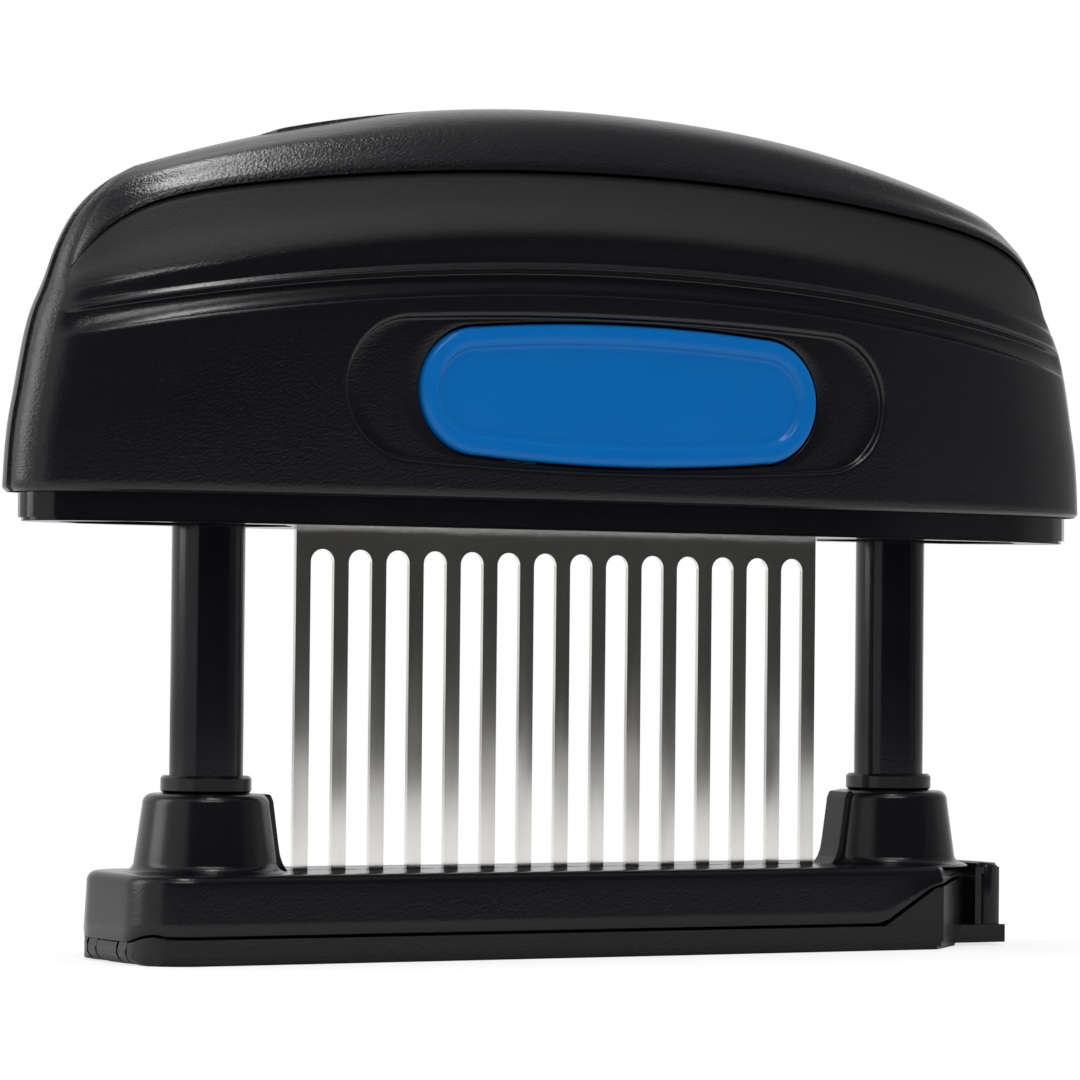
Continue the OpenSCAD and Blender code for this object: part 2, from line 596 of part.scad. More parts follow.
// what lies under the seam between cover and base: flat, then up a ramp at the right end
module under_seam(dx, dz) translate([0, base_half_w + 1, 0]) rotate([90, 0, 0])
    linear_extrude(2 * base_half_w + 2) polygon([[-90, -1], [-90, cover_h + dz],
        [39 + dx, cover_h + dz], [46.3 + dx, base_top - 2.7 + dz], [51.8 + dx, base_top - 1.9 + dz],
        [90, base_top - 1.9 + dz], [90, -1]]);

module along_y(x, z, r, y0, y1) translate([x, y0, z]) rotate([-90, 0, 0])
    cylinder(r = r, h = y1 - y0, $fn = 40);

module boss() {
    foot = boss_foot_d / 2;
    top = boss_top_d / 2;
    rotate_extrude($fn = round_fn) polygon([[0, base_top - 1], [foot + 1.1, base_top - 1],
        [foot + 1.1, base_top], [foot + 0.4, base_top + 0.3], [foot, base_top + 0.9],
        [top + 0.1, boss_z - 1.1], [top - 0.15, boss_z - 0.5], [top - 0.7, boss_z - 0.1],
        [top - 1.1, boss_z], [0, boss_z]]);
    // gusset on the side of the comb
    rotate([90, 0, 0]) translate([0, 0, -2.6]) linear_extrude(5.2)
        polygon([[-foot - 1.1, base_top - 1], [-foot - 1.1, base_top + 0.2],
            [-top - 0.5, boss_z - 2.6], [-top + 1, boss_z - 1.6], [0, boss_z - 1.6], [0, base_top - 1]]);
}

module base_housing() color([0.08, 0.08, 0.09]) on_columns() difference() {
    union() {
        difference() {
            union() {
                base_slab(0, cover_h, base_top - 1.1);
                base_slab(0.15, base_top - 1.11, base_top - 0.6);
                base_slab(0.45, base_top - 0.61, base_top - 0.25);
                base_slab(1.0, base_top - 0.26, base_top);
            }
            under_seam(-0.2, seam_gap);
            base_slab(base_wall, 0, deck_z);
            // round relief over the knuckle of the cover
            along_y(pin_x, pin_z, knuckle_r + seam_gap, -base_half_w, base_half_w);
        }
        intersection() {
            union() for (x = [-1, 1]) mirror([x < 0 ? 1 : 0, 0, 0]) translate([column_x, 0, 0]) boss();
            base_slab(0.05, base_top - 1, boss_z + 1);
        }
        for (x = [-1, 1]) translate([x * column_x, 0, under_z])
            cylinder(d = pillar_d, h = base_top - under_z, $fn = round_fn);
        // ribs from the pillars along the slots
        for (x = [-1, 1]) for (y = [-1, 1])
            translate([x > 0 ? 38 : -38 - 8, y * 3.2 - 0.6, deck_z - 3.4]) cube([8, 1.2, 3.5]);
        // lugs that hold the pin
        for (y = [-1, 1]) {
            along_y(pin_x, pin_z, knuckle_r, y * (lug_y + lug_w / 2) - lug_w / 2,
                    y * (lug_y + lug_w / 2) + lug_w / 2);
            translate([pin_x - 0.9, y * (lug_y + lug_w / 2) - lug_w / 2, pin_z]) cube([2.5, lug_w, 4]);
        }
    }
    // slots for the tines
    for (k = [0 : tine_count - 1])
        translate([(k - (tine_count - 1) / 2) * tine_pitch - tine_w / 2 - clear - 0.05,
                   -comb_t / 2 - clear - 0.05, deck_z - 4])
            cube([tine_w + 2 * clear + 0.1, comb_t + 2 * clear + 0.1, 8]);
    for (x = [-1, 1]) translate([x * column_x, 0, 0]) {
        translate([0, 0, socket_z]) cylinder(d = column_d + 2 * fit, h = 40, $fn = round_fn);
        cylinder(d = screw_d + 2 * fit, h = 20, $fn = 32);
        cylinder(d = 5, h = head_seat, $fn = 32);
    }
    along_y(pin_x, pin_z, pin_d / 2 + fit, -7, 7);
}

module hinge_pin() color([0.7, 0.7, 0.72]) on_columns()
    along_y(pin_x, pin_z, pin_d / 2, -7.3, 7.3);

module base_cover() color([0.10, 0.10, 0.11]) on_columns() difference() {
    union() {
        intersection() {
            union() {
                base_slab(0.9, 0, 0.41);
                base_slab(0.3, 0.4, 1.01);
                base_slab(0, 1, base_top);
            }
            under_seam(0, 0);
            translate([pin_x, -50, -1]) cube([200, 100, 40]);
        }
        // knuckle across the left end, inside the outline of the base
        intersection() {
            along_y(pin_x, pin_z, knuckle_r, -base_half_w, base_half_w);
            base_slab(0.1, -1, 5);
        }
        // latch: a finger that stands free beyond the right end
        translate([base_right - 2, -latch_half - 0.4, 0.4]) cube([latch_x + latch_t - base_right + 1.9, 2 * latch_half + 0.8, 2.2]);
        translate([latch_x, 0, 0.4]) linear_extrude(base_top - 0.9) latch_2d(0);
        translate([latch_x, 0, 0.4]) linear_extrude(base_top - 0.4) latch_2d(0.5);
    }
    // hollow, with the floor left in
    intersection() {
        base_slab(1.2, 1.5, base_top + 1);
        translate([pin_x + knuckle_r + 1.2, -50, 0]) cube([200, 100, 40]);
    }
    // room for the lugs
    for (y = [-1, 1]) translate([pin_x - 5, y * (lug_y + lug_w / 2) - lug_w / 2 - seam_gap, -1])
        cube([5 + knuckle_r + seam_gap + 0.4, lug_w + 2 * seam_gap, 8]);
    along_y(pin_x, pin_z, pin_d / 2 + fit, -7.4, 20);
    for (k = [0 : tine_count - 1])
        translate([(k - (tine_count - 1) / 2) * tine_pitch - tine_w / 2 - 0.5, -comb_t / 2 - 0.5, -1])
            cube([tine_w + 1, comb_t + 1, 8]);
    // grooves down the sides of the latch
    for (y = [-1, 1]) translate([latch_x + 0.9, y * latch_half - 0.9, 2.7]) cube([1.5, 1.8, 6.2]);
}

module latch_2d(inset) offset(delta = -inset) polygon([[0, -latch_half], [latch_t - 1.4, -latch_half],
    [latch_t - 0.4, -latch_half + 0.5], [latch_t, -latch_half + 1.6], [latch_t, latch_half - 1.6],
    [latch_t - 0.4, latch_half - 0.5], [latch_t - 1.4, latch_half], [0, latch_half]]);

handle_shell();
grip_strip();
release_button();
catch_slide();
button_springs();
carrier_plate();
comb_blade();
clamp_bar_front();
clamp_bar_rear();
clamp_screws();
bar_screws();
column_bushes();
spring_guides();
base_housing();
column_left();
column_right();
column_collars();
stop_rings();
column_screws();
return_spring_left();
return_spring_right();
hinge_pin();
base_cover();
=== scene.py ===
# %% [markdown]
# # A blade meat tenderizer, dressed for a photograph
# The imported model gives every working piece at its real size. The moulded pieces that the eye
# reads first, such as the arched handle, its crown strip and the button, are made again here as
# smooth skins over the same sizes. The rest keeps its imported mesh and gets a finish.

import bpy
import math
import numpy as np
from mathutils import Matrix, Vector
from mathutils.geometry import tessellate_polygon


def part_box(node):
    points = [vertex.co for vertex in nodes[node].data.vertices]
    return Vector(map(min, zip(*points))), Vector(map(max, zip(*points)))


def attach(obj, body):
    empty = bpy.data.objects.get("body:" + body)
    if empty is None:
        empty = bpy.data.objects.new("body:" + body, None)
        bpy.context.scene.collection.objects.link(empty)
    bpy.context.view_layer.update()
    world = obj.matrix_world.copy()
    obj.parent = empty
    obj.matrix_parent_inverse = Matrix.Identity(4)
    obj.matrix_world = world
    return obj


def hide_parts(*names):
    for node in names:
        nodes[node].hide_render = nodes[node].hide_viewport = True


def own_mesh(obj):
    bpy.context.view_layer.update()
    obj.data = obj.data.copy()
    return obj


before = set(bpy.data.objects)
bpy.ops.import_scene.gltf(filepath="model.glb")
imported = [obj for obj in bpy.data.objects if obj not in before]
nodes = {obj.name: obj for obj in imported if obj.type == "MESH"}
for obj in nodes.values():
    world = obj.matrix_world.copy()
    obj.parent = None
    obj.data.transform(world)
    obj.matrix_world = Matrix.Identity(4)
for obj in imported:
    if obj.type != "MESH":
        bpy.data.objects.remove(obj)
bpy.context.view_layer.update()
MM = 0.001

# %% [markdown]
# ## The camera
# The photograph is a long-lens view from 29 degrees to the left of the button side, just below
# the level of the comb. A lens of 167 mm on a 36 mm sensor, 0.6 m away, gives the same outline.
# The place and the turns are those of a pinhole camera fitted to the outline of the photograph.

# %% Camera
CAMERA_AT = Vector((-0.2953, -0.5215, 0.0354))
CAMERA_YAW, CAMERA_PITCH, CAMERA_ROLL = (math.radians(a) for a in (29.12, 1.36, 0.57))
FOCAL_PX, FRAME_PX, CENTRE_PX, SENSOR_MM = 5000.0, 1080.0, (534, 537), 36


def add_camera():
    ahead = Vector((math.sin(CAMERA_YAW) * math.cos(CAMERA_PITCH),
                    math.cos(CAMERA_YAW) * math.cos(CAMERA_PITCH), math.sin(CAMERA_PITCH)))
    right = Vector((math.cos(CAMERA_YAW), -math.sin(CAMERA_YAW), 0))
    up = right.cross(ahead)
    c, s = math.cos(CAMERA_ROLL), math.sin(CAMERA_ROLL)
    across, upward = right * c + up * s, up * c - right * s
    data = bpy.data.cameras.new("camera")
    data.sensor_width = SENSOR_MM
    data.lens = FOCAL_PX / FRAME_PX * SENSOR_MM
    data.shift_x = (FRAME_PX / 2 - CENTRE_PX[0]) / FRAME_PX
    data.shift_y = (CENTRE_PX[1] - FRAME_PX / 2) / FRAME_PX
    data.clip_start, data.clip_end = 0.05, 60
    camera = bpy.data.objects.new("camera", data)
    bpy.context.scene.collection.objects.link(camera)
    turn = Matrix((across, upward, -ahead)).transposed().to_4x4()
    camera.matrix_world = Matrix.Translation(CAMERA_AT) @ turn
    bpy.context.scene.camera = camera
    return camera


camera = add_camera()
print("lens", round(camera.data.lens, 1), "mm")

# %% [markdown]
# ## Node sums as plain Python
# A finish is easier to read as a sum than as a web of boxes. `Value` wraps a socket, so that
# `1 - mask * 0.5` adds its own Math nodes, and `Graph` adds any other node from one method.

# %% Node helpers
class Value:
    """A socket that carries one number, with the usual signs."""

    def __init__(self, graph, socket):
        self.graph, self.socket = graph, socket

    def sum(self, operation, first, second):
        settings = {"operation": operation}
        return self.graph.node("ShaderNodeMath", settings, {0: first, 1: second})[0]

    def __add__(self, other):
        return self.sum("ADD", self, other)

    def __sub__(self, other):
        return self.sum("SUBTRACT", self, other)

    def __rsub__(self, other):
        return self.sum("SUBTRACT", other, self)

    def __mul__(self, other):
        return self.sum("MULTIPLY", self, other)

    def or_more(self, other):
        return self.sum("MAXIMUM", self, other)

    __radd__ = __add__
    __rmul__ = __mul__


class Graph:
    """A node tree under construction: node() adds a node and gives its outputs."""

    def __init__(self, tree):
        self.tree = tree

    def feed(self, node, inputs):
        for key, value in inputs.items():
            socket = node.inputs[key]
            if isinstance(value, Value):
                self.tree.links.new(value.socket, socket)
            elif isinstance(value, tuple) and len(value) == 3 and len(socket.default_value) == 4:
                socket.default_value = (*value, 1.0)
            else:
                socket.default_value = value

    def node(self, kind, settings=None, inputs=None):
        node = self.tree.nodes.new(kind)
        for name, value in (settings or {}).items():
            if name == "stops":
                ramp = node.color_ramp.elements
                for k, (place, level) in enumerate(value):
                    stop = ramp[k] if k < len(ramp) else ramp.new(place)
                    stop.position, stop.color = place, (level, level, level, 1)
            else:
                setattr(node, name, value)
        self.feed(node, inputs or {})
        return [Value(self, out) for out in node.outputs]


print("helpers Value and Graph")

# %% [markdown]
# ## One helper for every finish
# Each finish starts from the Principled shader. The patterns are laid out in the object's own
# space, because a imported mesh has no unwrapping, and that space moves with the piece.

# %% Finish helper
class Finish(Graph):
    """A material: constants go on its shader's own sockets, patterns come in through wear()."""

    OBJECT_SPACE = 3  # the Texture Coordinate node's fourth output

    def __init__(self, name, specular=None, **constants):
        self.material = bpy.data.materials.new(name)
        self.material.use_nodes = True
        super().__init__(self.material.node_tree)
        self.shader = self.tree.nodes["Principled BSDF"]
        self.wear(**constants)
        if specular is not None:
            self.shader.inputs["Specular IOR Level"].default_value = specular

    def wear(self, **inputs):
        self.feed(self.shader, {k.replace("_", " ").title(): v for k, v in inputs.items()})
        return self.material

    def here(self):
        return self.node("ShaderNodeTexCoord")[self.OBJECT_SPACE]

    def stretch(self, x, y, z, lean=0.0):
        turn = {"Vector": self.here(), "Rotation": (0, math.radians(lean), 0)}
        turned = self.node("ShaderNodeMapping", inputs=turn)[0]
        return self.node("ShaderNodeMapping", inputs={"Vector": turned, "Scale": (x, y, z)})[0]

    def noise(self, scale, detail=2.0, rough=0.5, at=None):
        return self.node("ShaderNodeTexNoise", inputs={
            "Vector": at or self.here(), "Scale": scale, "Detail": detail, "Roughness": rough})[0]

    def bump(self, height, strength, distance):
        return self.node("ShaderNodeBump", inputs={
            "Strength": strength, "Distance": distance, "Height": height})[0]

    def mix(self, factor, first, second):
        color = {0: factor, 6: first, 7: second}
        return self.node("ShaderNodeMix", {"data_type": "RGBA"}, color)[2]


def shaded(color, share):
    return tuple(c * share for c in color)


print("patterns: noise, bump and mix in object space")

# %% [markdown]
# ## Black moulded plastic
# The handle and base are moulded in a tool with a spark-eroded face, so the black plastic has a
# fine even grain that breaks its highlights up. A small noise in the bump does that, and a slow
# noise in the roughness gives the faint unevenness that handling leaves. The facet of the handle
# is greyer and duller. It belongs to the same moulding, so a mask on the mesh blends it in.

# %% Black plastic
SHELL_BLACK, FACET_GREY = (0.0032, 0.0032, 0.0044), (0.0085, 0.0085, 0.0087)
FACET_DULLER = 0.3


def black_plastic(name, color, roughness, grain, shine=0.28, facet=None):
    f = Finish(name, shine, base_color=color, roughness=roughness)
    fine = f.noise(3600.0, rough=0.6)
    slow = f.noise(60.0)
    speck = f.noise(1700.0, rough=0.6, at=f.stretch(1.0, 1.0, 2.4, lean=35))
    rough = roughness - 0.04 + 0.08 * slow
    tint = f.mix(speck, shaded(color, 0.8), shaded(color, 1.25))
    if facet:
        on_facet = f.node("ShaderNodeAttribute", {"attribute_name": "facet"})[2]
        rough = rough + on_facet * FACET_DULLER
        tint = f.mix(on_facet, tint, facet)
    return f.wear(roughness=rough, base_color=tint,
                  normal=f.bump(0.6 * fine + speck, 0.6, grain))


shell_finish = black_plastic("shell_black", SHELL_BLACK, 0.24, 0.00004, 0.34, FACET_GREY)
strip_finish = black_plastic("strip_black", SHELL_BLACK, 0.25, 0.00009, 0.36)
base_finish = black_plastic("base_black", SHELL_BLACK, 0.24, 0.000022)
plate_finish = black_plastic("plate_black", SHELL_BLACK, 0.14, 0.00001)
inner_finish = black_plastic("inner_black", (0.006, 0.006, 0.006), 0.42, 0.00004)
column_finish = black_plastic("column_black", (0.002, 0.002, 0.0035), 0.12, 0.000004)
bumper_finish = black_plastic("bumper_black", (0.003, 0.003, 0.004), 0.2, 0.000008)
print("black plastics", 7)

# %% [markdown]
# ## Blue and white plastic
# The button is moulded in a clear mid blue with a satin face. Its colour could be one flat value,
# but two close blues on a slow noise look like real pigment. The bushes and guides inside are
# white bearing plastic, made in the same way.

# %% Blue and white plastics
def button_plastic():
    f = Finish("button_blue", 0.16, base_color=(0.0, 0.11, 0.38), roughness=0.4)
    slow = f.noise(90.0)
    tint = f.mix(slow, (0.0, 0.100, 0.340), (0.0, 0.110, 0.365))
    grain = f.bump(f.noise(2600.0), 0.3, 0.00002)
    return f.wear(base_color=tint, roughness=0.2 + 0.08 * slow, normal=grain)


def bearing_plastic():
    f = Finish("acetal_white", base_color=(0.72, 0.71, 0.67), roughness=0.4)
    slow = f.noise(120.0)
    tint = f.mix(slow, (0.68, 0.67, 0.63), (0.75, 0.74, 0.70))
    return f.wear(base_color=tint, roughness=0.36 + 0.08 * slow)


button_finish = button_plastic()
acetal_finish = bearing_plastic()
print("other plastics", button_finish.name, acetal_finish.name)

# %% [markdown]
# ## Steel
# The comb is stamped from polished stainless sheet: it mirrors what stands around it, softly,
# with fine lines along the tines from rolling and polishing. Screws, pins and springs are plainer.

# %% Steel finishes
def steel(name, color, roughness, lines_along=None, depth=0.000004, wave=0.0):
    f = Finish(name, base_color=color, roughness=roughness, metallic=1.0)
    at = f.stretch(*lines_along) if lines_along else f.here()
    lines = f.noise(900.0, 3.0, 0.6, at)
    slow = f.noise(45.0)
    bend = f.noise(120.0, 1.0, at=f.stretch(1.0, 1.0, 0.3))
    rough = roughness - 0.03 + 0.04 * lines + 0.03 * slow
    tint = f.mix(slow, shaded(color, 0.94), color)
    return f.wear(roughness=rough, base_color=tint,
                  normal=f.bump(lines + wave * bend, 0.3, depth))


comb_finish = steel("comb_steel", (0.66, 0.65, 0.63), 0.09, (1.0, 1.0, 0.05), 0.000002, 330.0)
fastener_finish = steel("fastener_steel", (0.60, 0.60, 0.61), 0.3)
spring_finish = steel("spring_steel", (0.50, 0.50, 0.52), 0.28)
print("steels", 3)

# %% [markdown]
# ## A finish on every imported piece
# Every node gets its finish, also the ones inside the handle, because the button and the cover
# move and let the eye in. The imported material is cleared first, so none of it stays.

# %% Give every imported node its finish
FINISHES = [
    (shell_finish, "handle_shell"),
    (strip_finish, "grip_strip"),
    (button_finish, "release_button"),
    (plate_finish, "carrier_plate"),
    (inner_finish, "catch_slide clamp_bar_front clamp_bar_rear"),
    (comb_finish, "comb_blade"),
    (fastener_finish, "clamp_screws bar_screws stop_rings column_screws hinge_pin"),
    (acetal_finish, "column_bushes spring_guides"),
    (spring_finish, "button_springs return_spring_left return_spring_right"),
    (column_finish, "column_left column_right"),
    (bumper_finish, "column_collars"),
    (base_finish, "base_housing base_cover"),
]
dressed = []
for finish, names in FINISHES:
    for name in names.split():
        nodes[name].data.materials.clear()
        nodes[name].data.materials.append(finish)
        dressed.append(name)
print("finishes on", len(dressed), "left bare", sorted(set(nodes) - set(dressed)))

# %% [markdown]
# ## Round things look round
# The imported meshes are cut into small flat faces. A modifier joins their doubled points and
# shades across every edge that turns by less than 36 degrees, so corners and coils read as round
# and real edges stay sharp.

# %% Smoothing modifier
JOIN_WITHIN, SHARP_FROM = 0.000002, math.radians(36)


def smoothing():
    group = bpy.data.node_groups.new("shade_round", "GeometryNodeTree")
    for way in ("INPUT", "OUTPUT"):
        group.interface.new_socket("Geometry", in_out=way, socket_type="NodeSocketGeometry")
    g = Graph(group)
    mesh = g.node("NodeGroupInput")[0]
    mesh = g.node("GeometryNodeRemoveAttribute", None,
                  {"Geometry": mesh, "Name": "custom_normal"})[0]
    mesh = g.node("GeometryNodeMergeByDistance", None,
                  {"Geometry": mesh, "Distance": JOIN_WITHIN})[0]
    mesh = g.node("GeometryNodeSetShadeSmooth", {"domain": "FACE"},
                  {"Geometry": mesh, "Shade Smooth": True})[0]
    sharp = g.node("FunctionNodeCompare", {"data_type": "FLOAT", "operation": "GREATER_THAN"},
                   {0: g.node("GeometryNodeInputMeshEdgeAngle")[0], 1: SHARP_FROM})[0]
    mesh = g.node("GeometryNodeSetShadeSmooth", {"domain": "EDGE"},
                  {"Geometry": mesh, "Selection": sharp, "Shade Smooth": False})[0]
    g.node("NodeGroupOutput", None, {0: mesh})
    return group


round_group = smoothing()
ROUNDED = ("base_cover", "carrier_plate")
for name in ROUNDED:
    nodes[name].modifiers.new("shade_round", "NODES").node_group = round_group
print("smoothed", len(ROUNDED))

# %% [markdown]
# ## Sizes of the handle
# These are the named sizes of the part's source, in millimetres. A row of the handle's skin is
# its height at mid length, how far it drops towards the tips, its half length, how far its side
# stands in, its share of the finger groove and how far it turns down round the facet's corner.

# %% Handle sizes
HANDLE_LEN, HANDLE_W, HANDLE_TOP, CROWN_R = 146.0, 27.2, 101.0, 177.0
SEAM_Z, GROOVE_DEPTH, BAND_HALF, STRIP_T = 53.4, 1.5, 4.0, 1.6
A, B = HANDLE_LEN / 2, HANDLE_W / 2
PLAN_N, PLAN_M = 3.2, 2.2
HANDLE_H = HANDLE_TOP - SEAM_Z
GROOVE_Z, RIDGE_Z, FACET_Z, LIP_Z = (SEAM_Z + share * HANDLE_H
                                     for share in (0.504, 0.584, 0.662, 0.815))
FACET_IN, LIP_IN, END_LEAN = 1.2, 4.0, 2.0
FACET_CORNER, CORNER_SHARP, RUN_OUT = 6.6, 15.5, 0.05
SPINE_END = A * 0.79
CROWN_DROP = SPINE_END ** 2 / (2 * CROWN_R)
TIP = A - END_LEAN
BAND_S = (1 - (BAND_HALF / B) ** PLAN_M) ** (1 / PLAN_N)

body_rows = [
    (SEAM_Z, 0, A - 0.5, 0.5, 0, 0),
    (SEAM_Z + 0.5, 0, A, 0, 0, 0),
    (SEAM_Z + 6, 0, A - END_LEAN * 0.15, 0, 0, 0),
    (SEAM_Z + 14, 2.5, A - END_LEAN * 0.6, 0, 0, 0),
    (GROOVE_Z - 0.2, 7.15, TIP - 0.1, 0.1, 0, 0),
    (GROOVE_Z + 0.25, 7.2, TIP - 0.2, 0.16, 0.04, 0),
    (GROOVE_Z + 0.4, 7.2, TIP - 0.25, 0.18, 0.2, 0),
    (GROOVE_Z + 0.75, 7.2, TIP - 0.3, 0.25, 0.45, 0),
    (GROOVE_Z + 1.35, 7.2, TIP - 0.45, 0.35, 0.68, 0),
    (GROOVE_Z + 2.1, 7.2, TIP - 0.6, 0.42, 0.86, 0),
    (GROOVE_Z + 2.75, 7.25, TIP - 0.75, 0.45, 0.9, 0),
    (RIDGE_Z - 0.7, 7.3, TIP - 0.85, 0.42, 0.5, 0),
    (RIDGE_Z - 0.45, 7.3, TIP - 0.9, 0.4, 0.06, 0),
    (RIDGE_Z - 0.25, 7.3, TIP - 0.95, 0.5, 0, 0),
    (RIDGE_Z + 0.1, 7.35, TIP - 1.0, 0.85, 0, 0),
    (RIDGE_Z + 0.35, 7.4, TIP - 1.1, 1.0, 0, 0),
    (FACET_Z - 1.2, 8.1, TIP - 1.7, 1.05, 0, 0),
    (FACET_Z, 8.5, TIP - 2.3, FACET_IN, 0, 0),
    ((FACET_Z + LIP_Z) / 2, 7.9, TIP - 2.6, (FACET_IN + LIP_IN) / 2 + 0.1, 0, FACET_CORNER / 2),
    (LIP_Z, 7.2, TIP - 2.8, LIP_IN, 0, FACET_CORNER),
]
crown_rows = [
    (LIP_Z + 0.3, 7.2, TIP - 3.0, LIP_IN - 0.5, 0, FACET_CORNER),
    (LIP_Z + 1.0, 7.35, TIP - 3.2, LIP_IN - 0.35, 0, FACET_CORNER * 0.93),
    (LIP_Z + 2.0, 7.8, TIP - 4.2, LIP_IN + 0.05, 0, FACET_CORNER * 0.65),
    (HANDLE_TOP - 5.4, 8.6, A - 8.2, 4.75, 0, FACET_CORNER * 0.2),
    (HANDLE_TOP - 3.1, 9.0, A - 10.7, 6.3, 0, FACET_CORNER * 0.1),
    (HANDLE_TOP - 1.2, 9.5, A - 13.1, 9.0, 0, 0),
    (HANDLE_TOP - 0.3, 9.45, SPINE_END + 0.7, 11.6, 0, 0),
    (HANDLE_TOP, CROWN_DROP, SPINE_END, B, 0, 0),
]
print("rows", len(body_rows), "on the body,", len(crown_rows), "on the crown")

# %% [markdown]
# ## Rows between rows
# Real mouldings flow between their edges. A subdivision surface would do it, but it also rounds
# the edges off. A curve that never overshoots fills the rows in instead, so edges stay put.

# %% Curves
def smooth_step(t):
    t = max(0.0, min(1.0, t))
    return t * t * (3 - 2 * t)


def plan_y(x):
    return B * (1 - min(1.0, abs(x / A) ** PLAN_N)) ** (1 / PLAN_M)


def plan_normal(x, y):
    gx = math.copysign(PLAN_N / A * abs(x / A) ** (PLAN_N - 1), x)
    gy = math.copysign(PLAN_M / B * abs(y / B) ** (PLAN_M - 1), y)
    g = math.hypot(gx, gy)
    return (gx / g, gy / g)


def fill_rows(rows, steps):
    """Rows between rows, on a curve that keeps to the rows' own highs and lows."""
    rows = np.array(rows, float)
    n = len(rows)
    t = np.concatenate([[0], np.cumsum(np.linalg.norm(np.diff(rows, axis=0), axis=1))])
    h = np.diff(t)[:, None]
    d = np.diff(rows, axis=0) / h
    slope = np.zeros_like(rows)
    slope[0], slope[-1] = d[0], d[-1]
    for k in range(1, n - 1):
        w1, w2 = 2 * h[k] + h[k - 1], h[k] + 2 * h[k - 1]
        same = d[k - 1] * d[k] > 0
        safe0, safe1 = np.where(same, d[k - 1], 1), np.where(same, d[k], 1)
        slope[k] = np.where(same, (w1 + w2) / (w1 / safe0 + w2 / safe1), 0)
    out = []
    for k in range(n - 1):
        for s in np.arange(steps) / steps:
            a, b = 2 * s**3 - 3 * s**2 + 1, s**3 - 2 * s**2 + s
            c, e = -2 * s**3 + 3 * s**2, s**3 - s**2
            out.append(a * rows[k] + b * h[k] * slope[k]
                       + c * rows[k + 1] + e * h[k] * slope[k + 1])
    out.append(rows[-1])
    return np.array(out)


BODY_STEPS, CROWN_STEPS = 5, 7
fine_rows = fill_rows(body_rows, BODY_STEPS)
print("fine rows", len(fine_rows))

# %% [markdown]
# ## Stations round the handle
# The skin is a ring of stations, close together where the end bands start, because there the
# groove runs out and the strip begins. The ends themselves are one even curve from seam to crown,
# so their half length and side are evened over height, and the groove and facet fade into them.

# %% Stations and the profile of the ends
BAND_U = math.degrees(math.asin(BAND_S))
PAST_BAND = BAND_U + 0.12
quarter = [k * 1.5 for k in range(1, 46)] + [69.0, 70.5, 72.0, 73.5, 74.8, 75.8]
quarter += [BAND_U - 0.35, BAND_U - 0.12, PAST_BAND]
quarter += [PAST_BAND + (90 - PAST_BAND) * k / 9 for k in range(1, 9)] + [89.4, 89.7]
front = [-90.0] + [-u for u in reversed(quarter)] + [0.0] + quarter + [90.0]
SIDE_N = len(front) - 1
RING_N = 2 * SIDE_N
ring_u = [front[i if i <= SIDE_N else RING_N - i] for i in range(RING_N)]
print("stations", RING_N, "band from", round(BAND_U, 1), "degrees")

every = np.vstack([fine_rows, fill_rows(crown_rows, BODY_STEPS)])
tip_height = every[:, 0] - every[:, 1] - every[:, 5]
tip_z = np.arange(SEAM_Z, HANDLE_TOP - CROWN_DROP, 0.25)
EVEN_OVER, EVEN_FROM = 1.8, 59
weight = np.exp(-((tip_z[:, None] - tip_z[None, :]) / EVEN_OVER) ** 2)


def evened(values):
    return (weight * values).sum(1) / weight.sum(1)


tip_half = np.interp(tip_z, tip_height, every[:, 2])
tip_half = np.where(tip_z > EVEN_FROM, evened(tip_half), tip_half)
tip_in = evened(np.interp(tip_z, tip_height, every[:, 3]))
print("end profile", len(tip_z), "heights")


def in_band(i):
    return abs(ring_u[i]) > BAND_U


# %% [markdown]
# ## One point of the skin
# Every piece of the handle's skin is made from this one function, so the shell and the strip fit
# each other. The two halves of the moulding part at the middle of each end and along the crest,
# where the rear half stands a trace proud: that fine step is part of the function too.

# %% Point of the skin
PARTING_STEP, PARTING_REACH = 0.32, 4.2
CREST_H, CREST_SINK, END_SINK = 4.5, 0.25, 0.35
FRONT_SINKS, REAR_SINKS = (-18, 18), (-38.5, 4.0)  # from which x, and over what length
RIGHT_OF, RIGHT_RUN = 5, 30
ENDS_FROM, ENDS_OVER = BAND_S - 0.02, 0.025  # shares of the half length
ENDS_BELOW, STEP_BELOW, FADE_H = 6.5, 4, 3  # from the top down


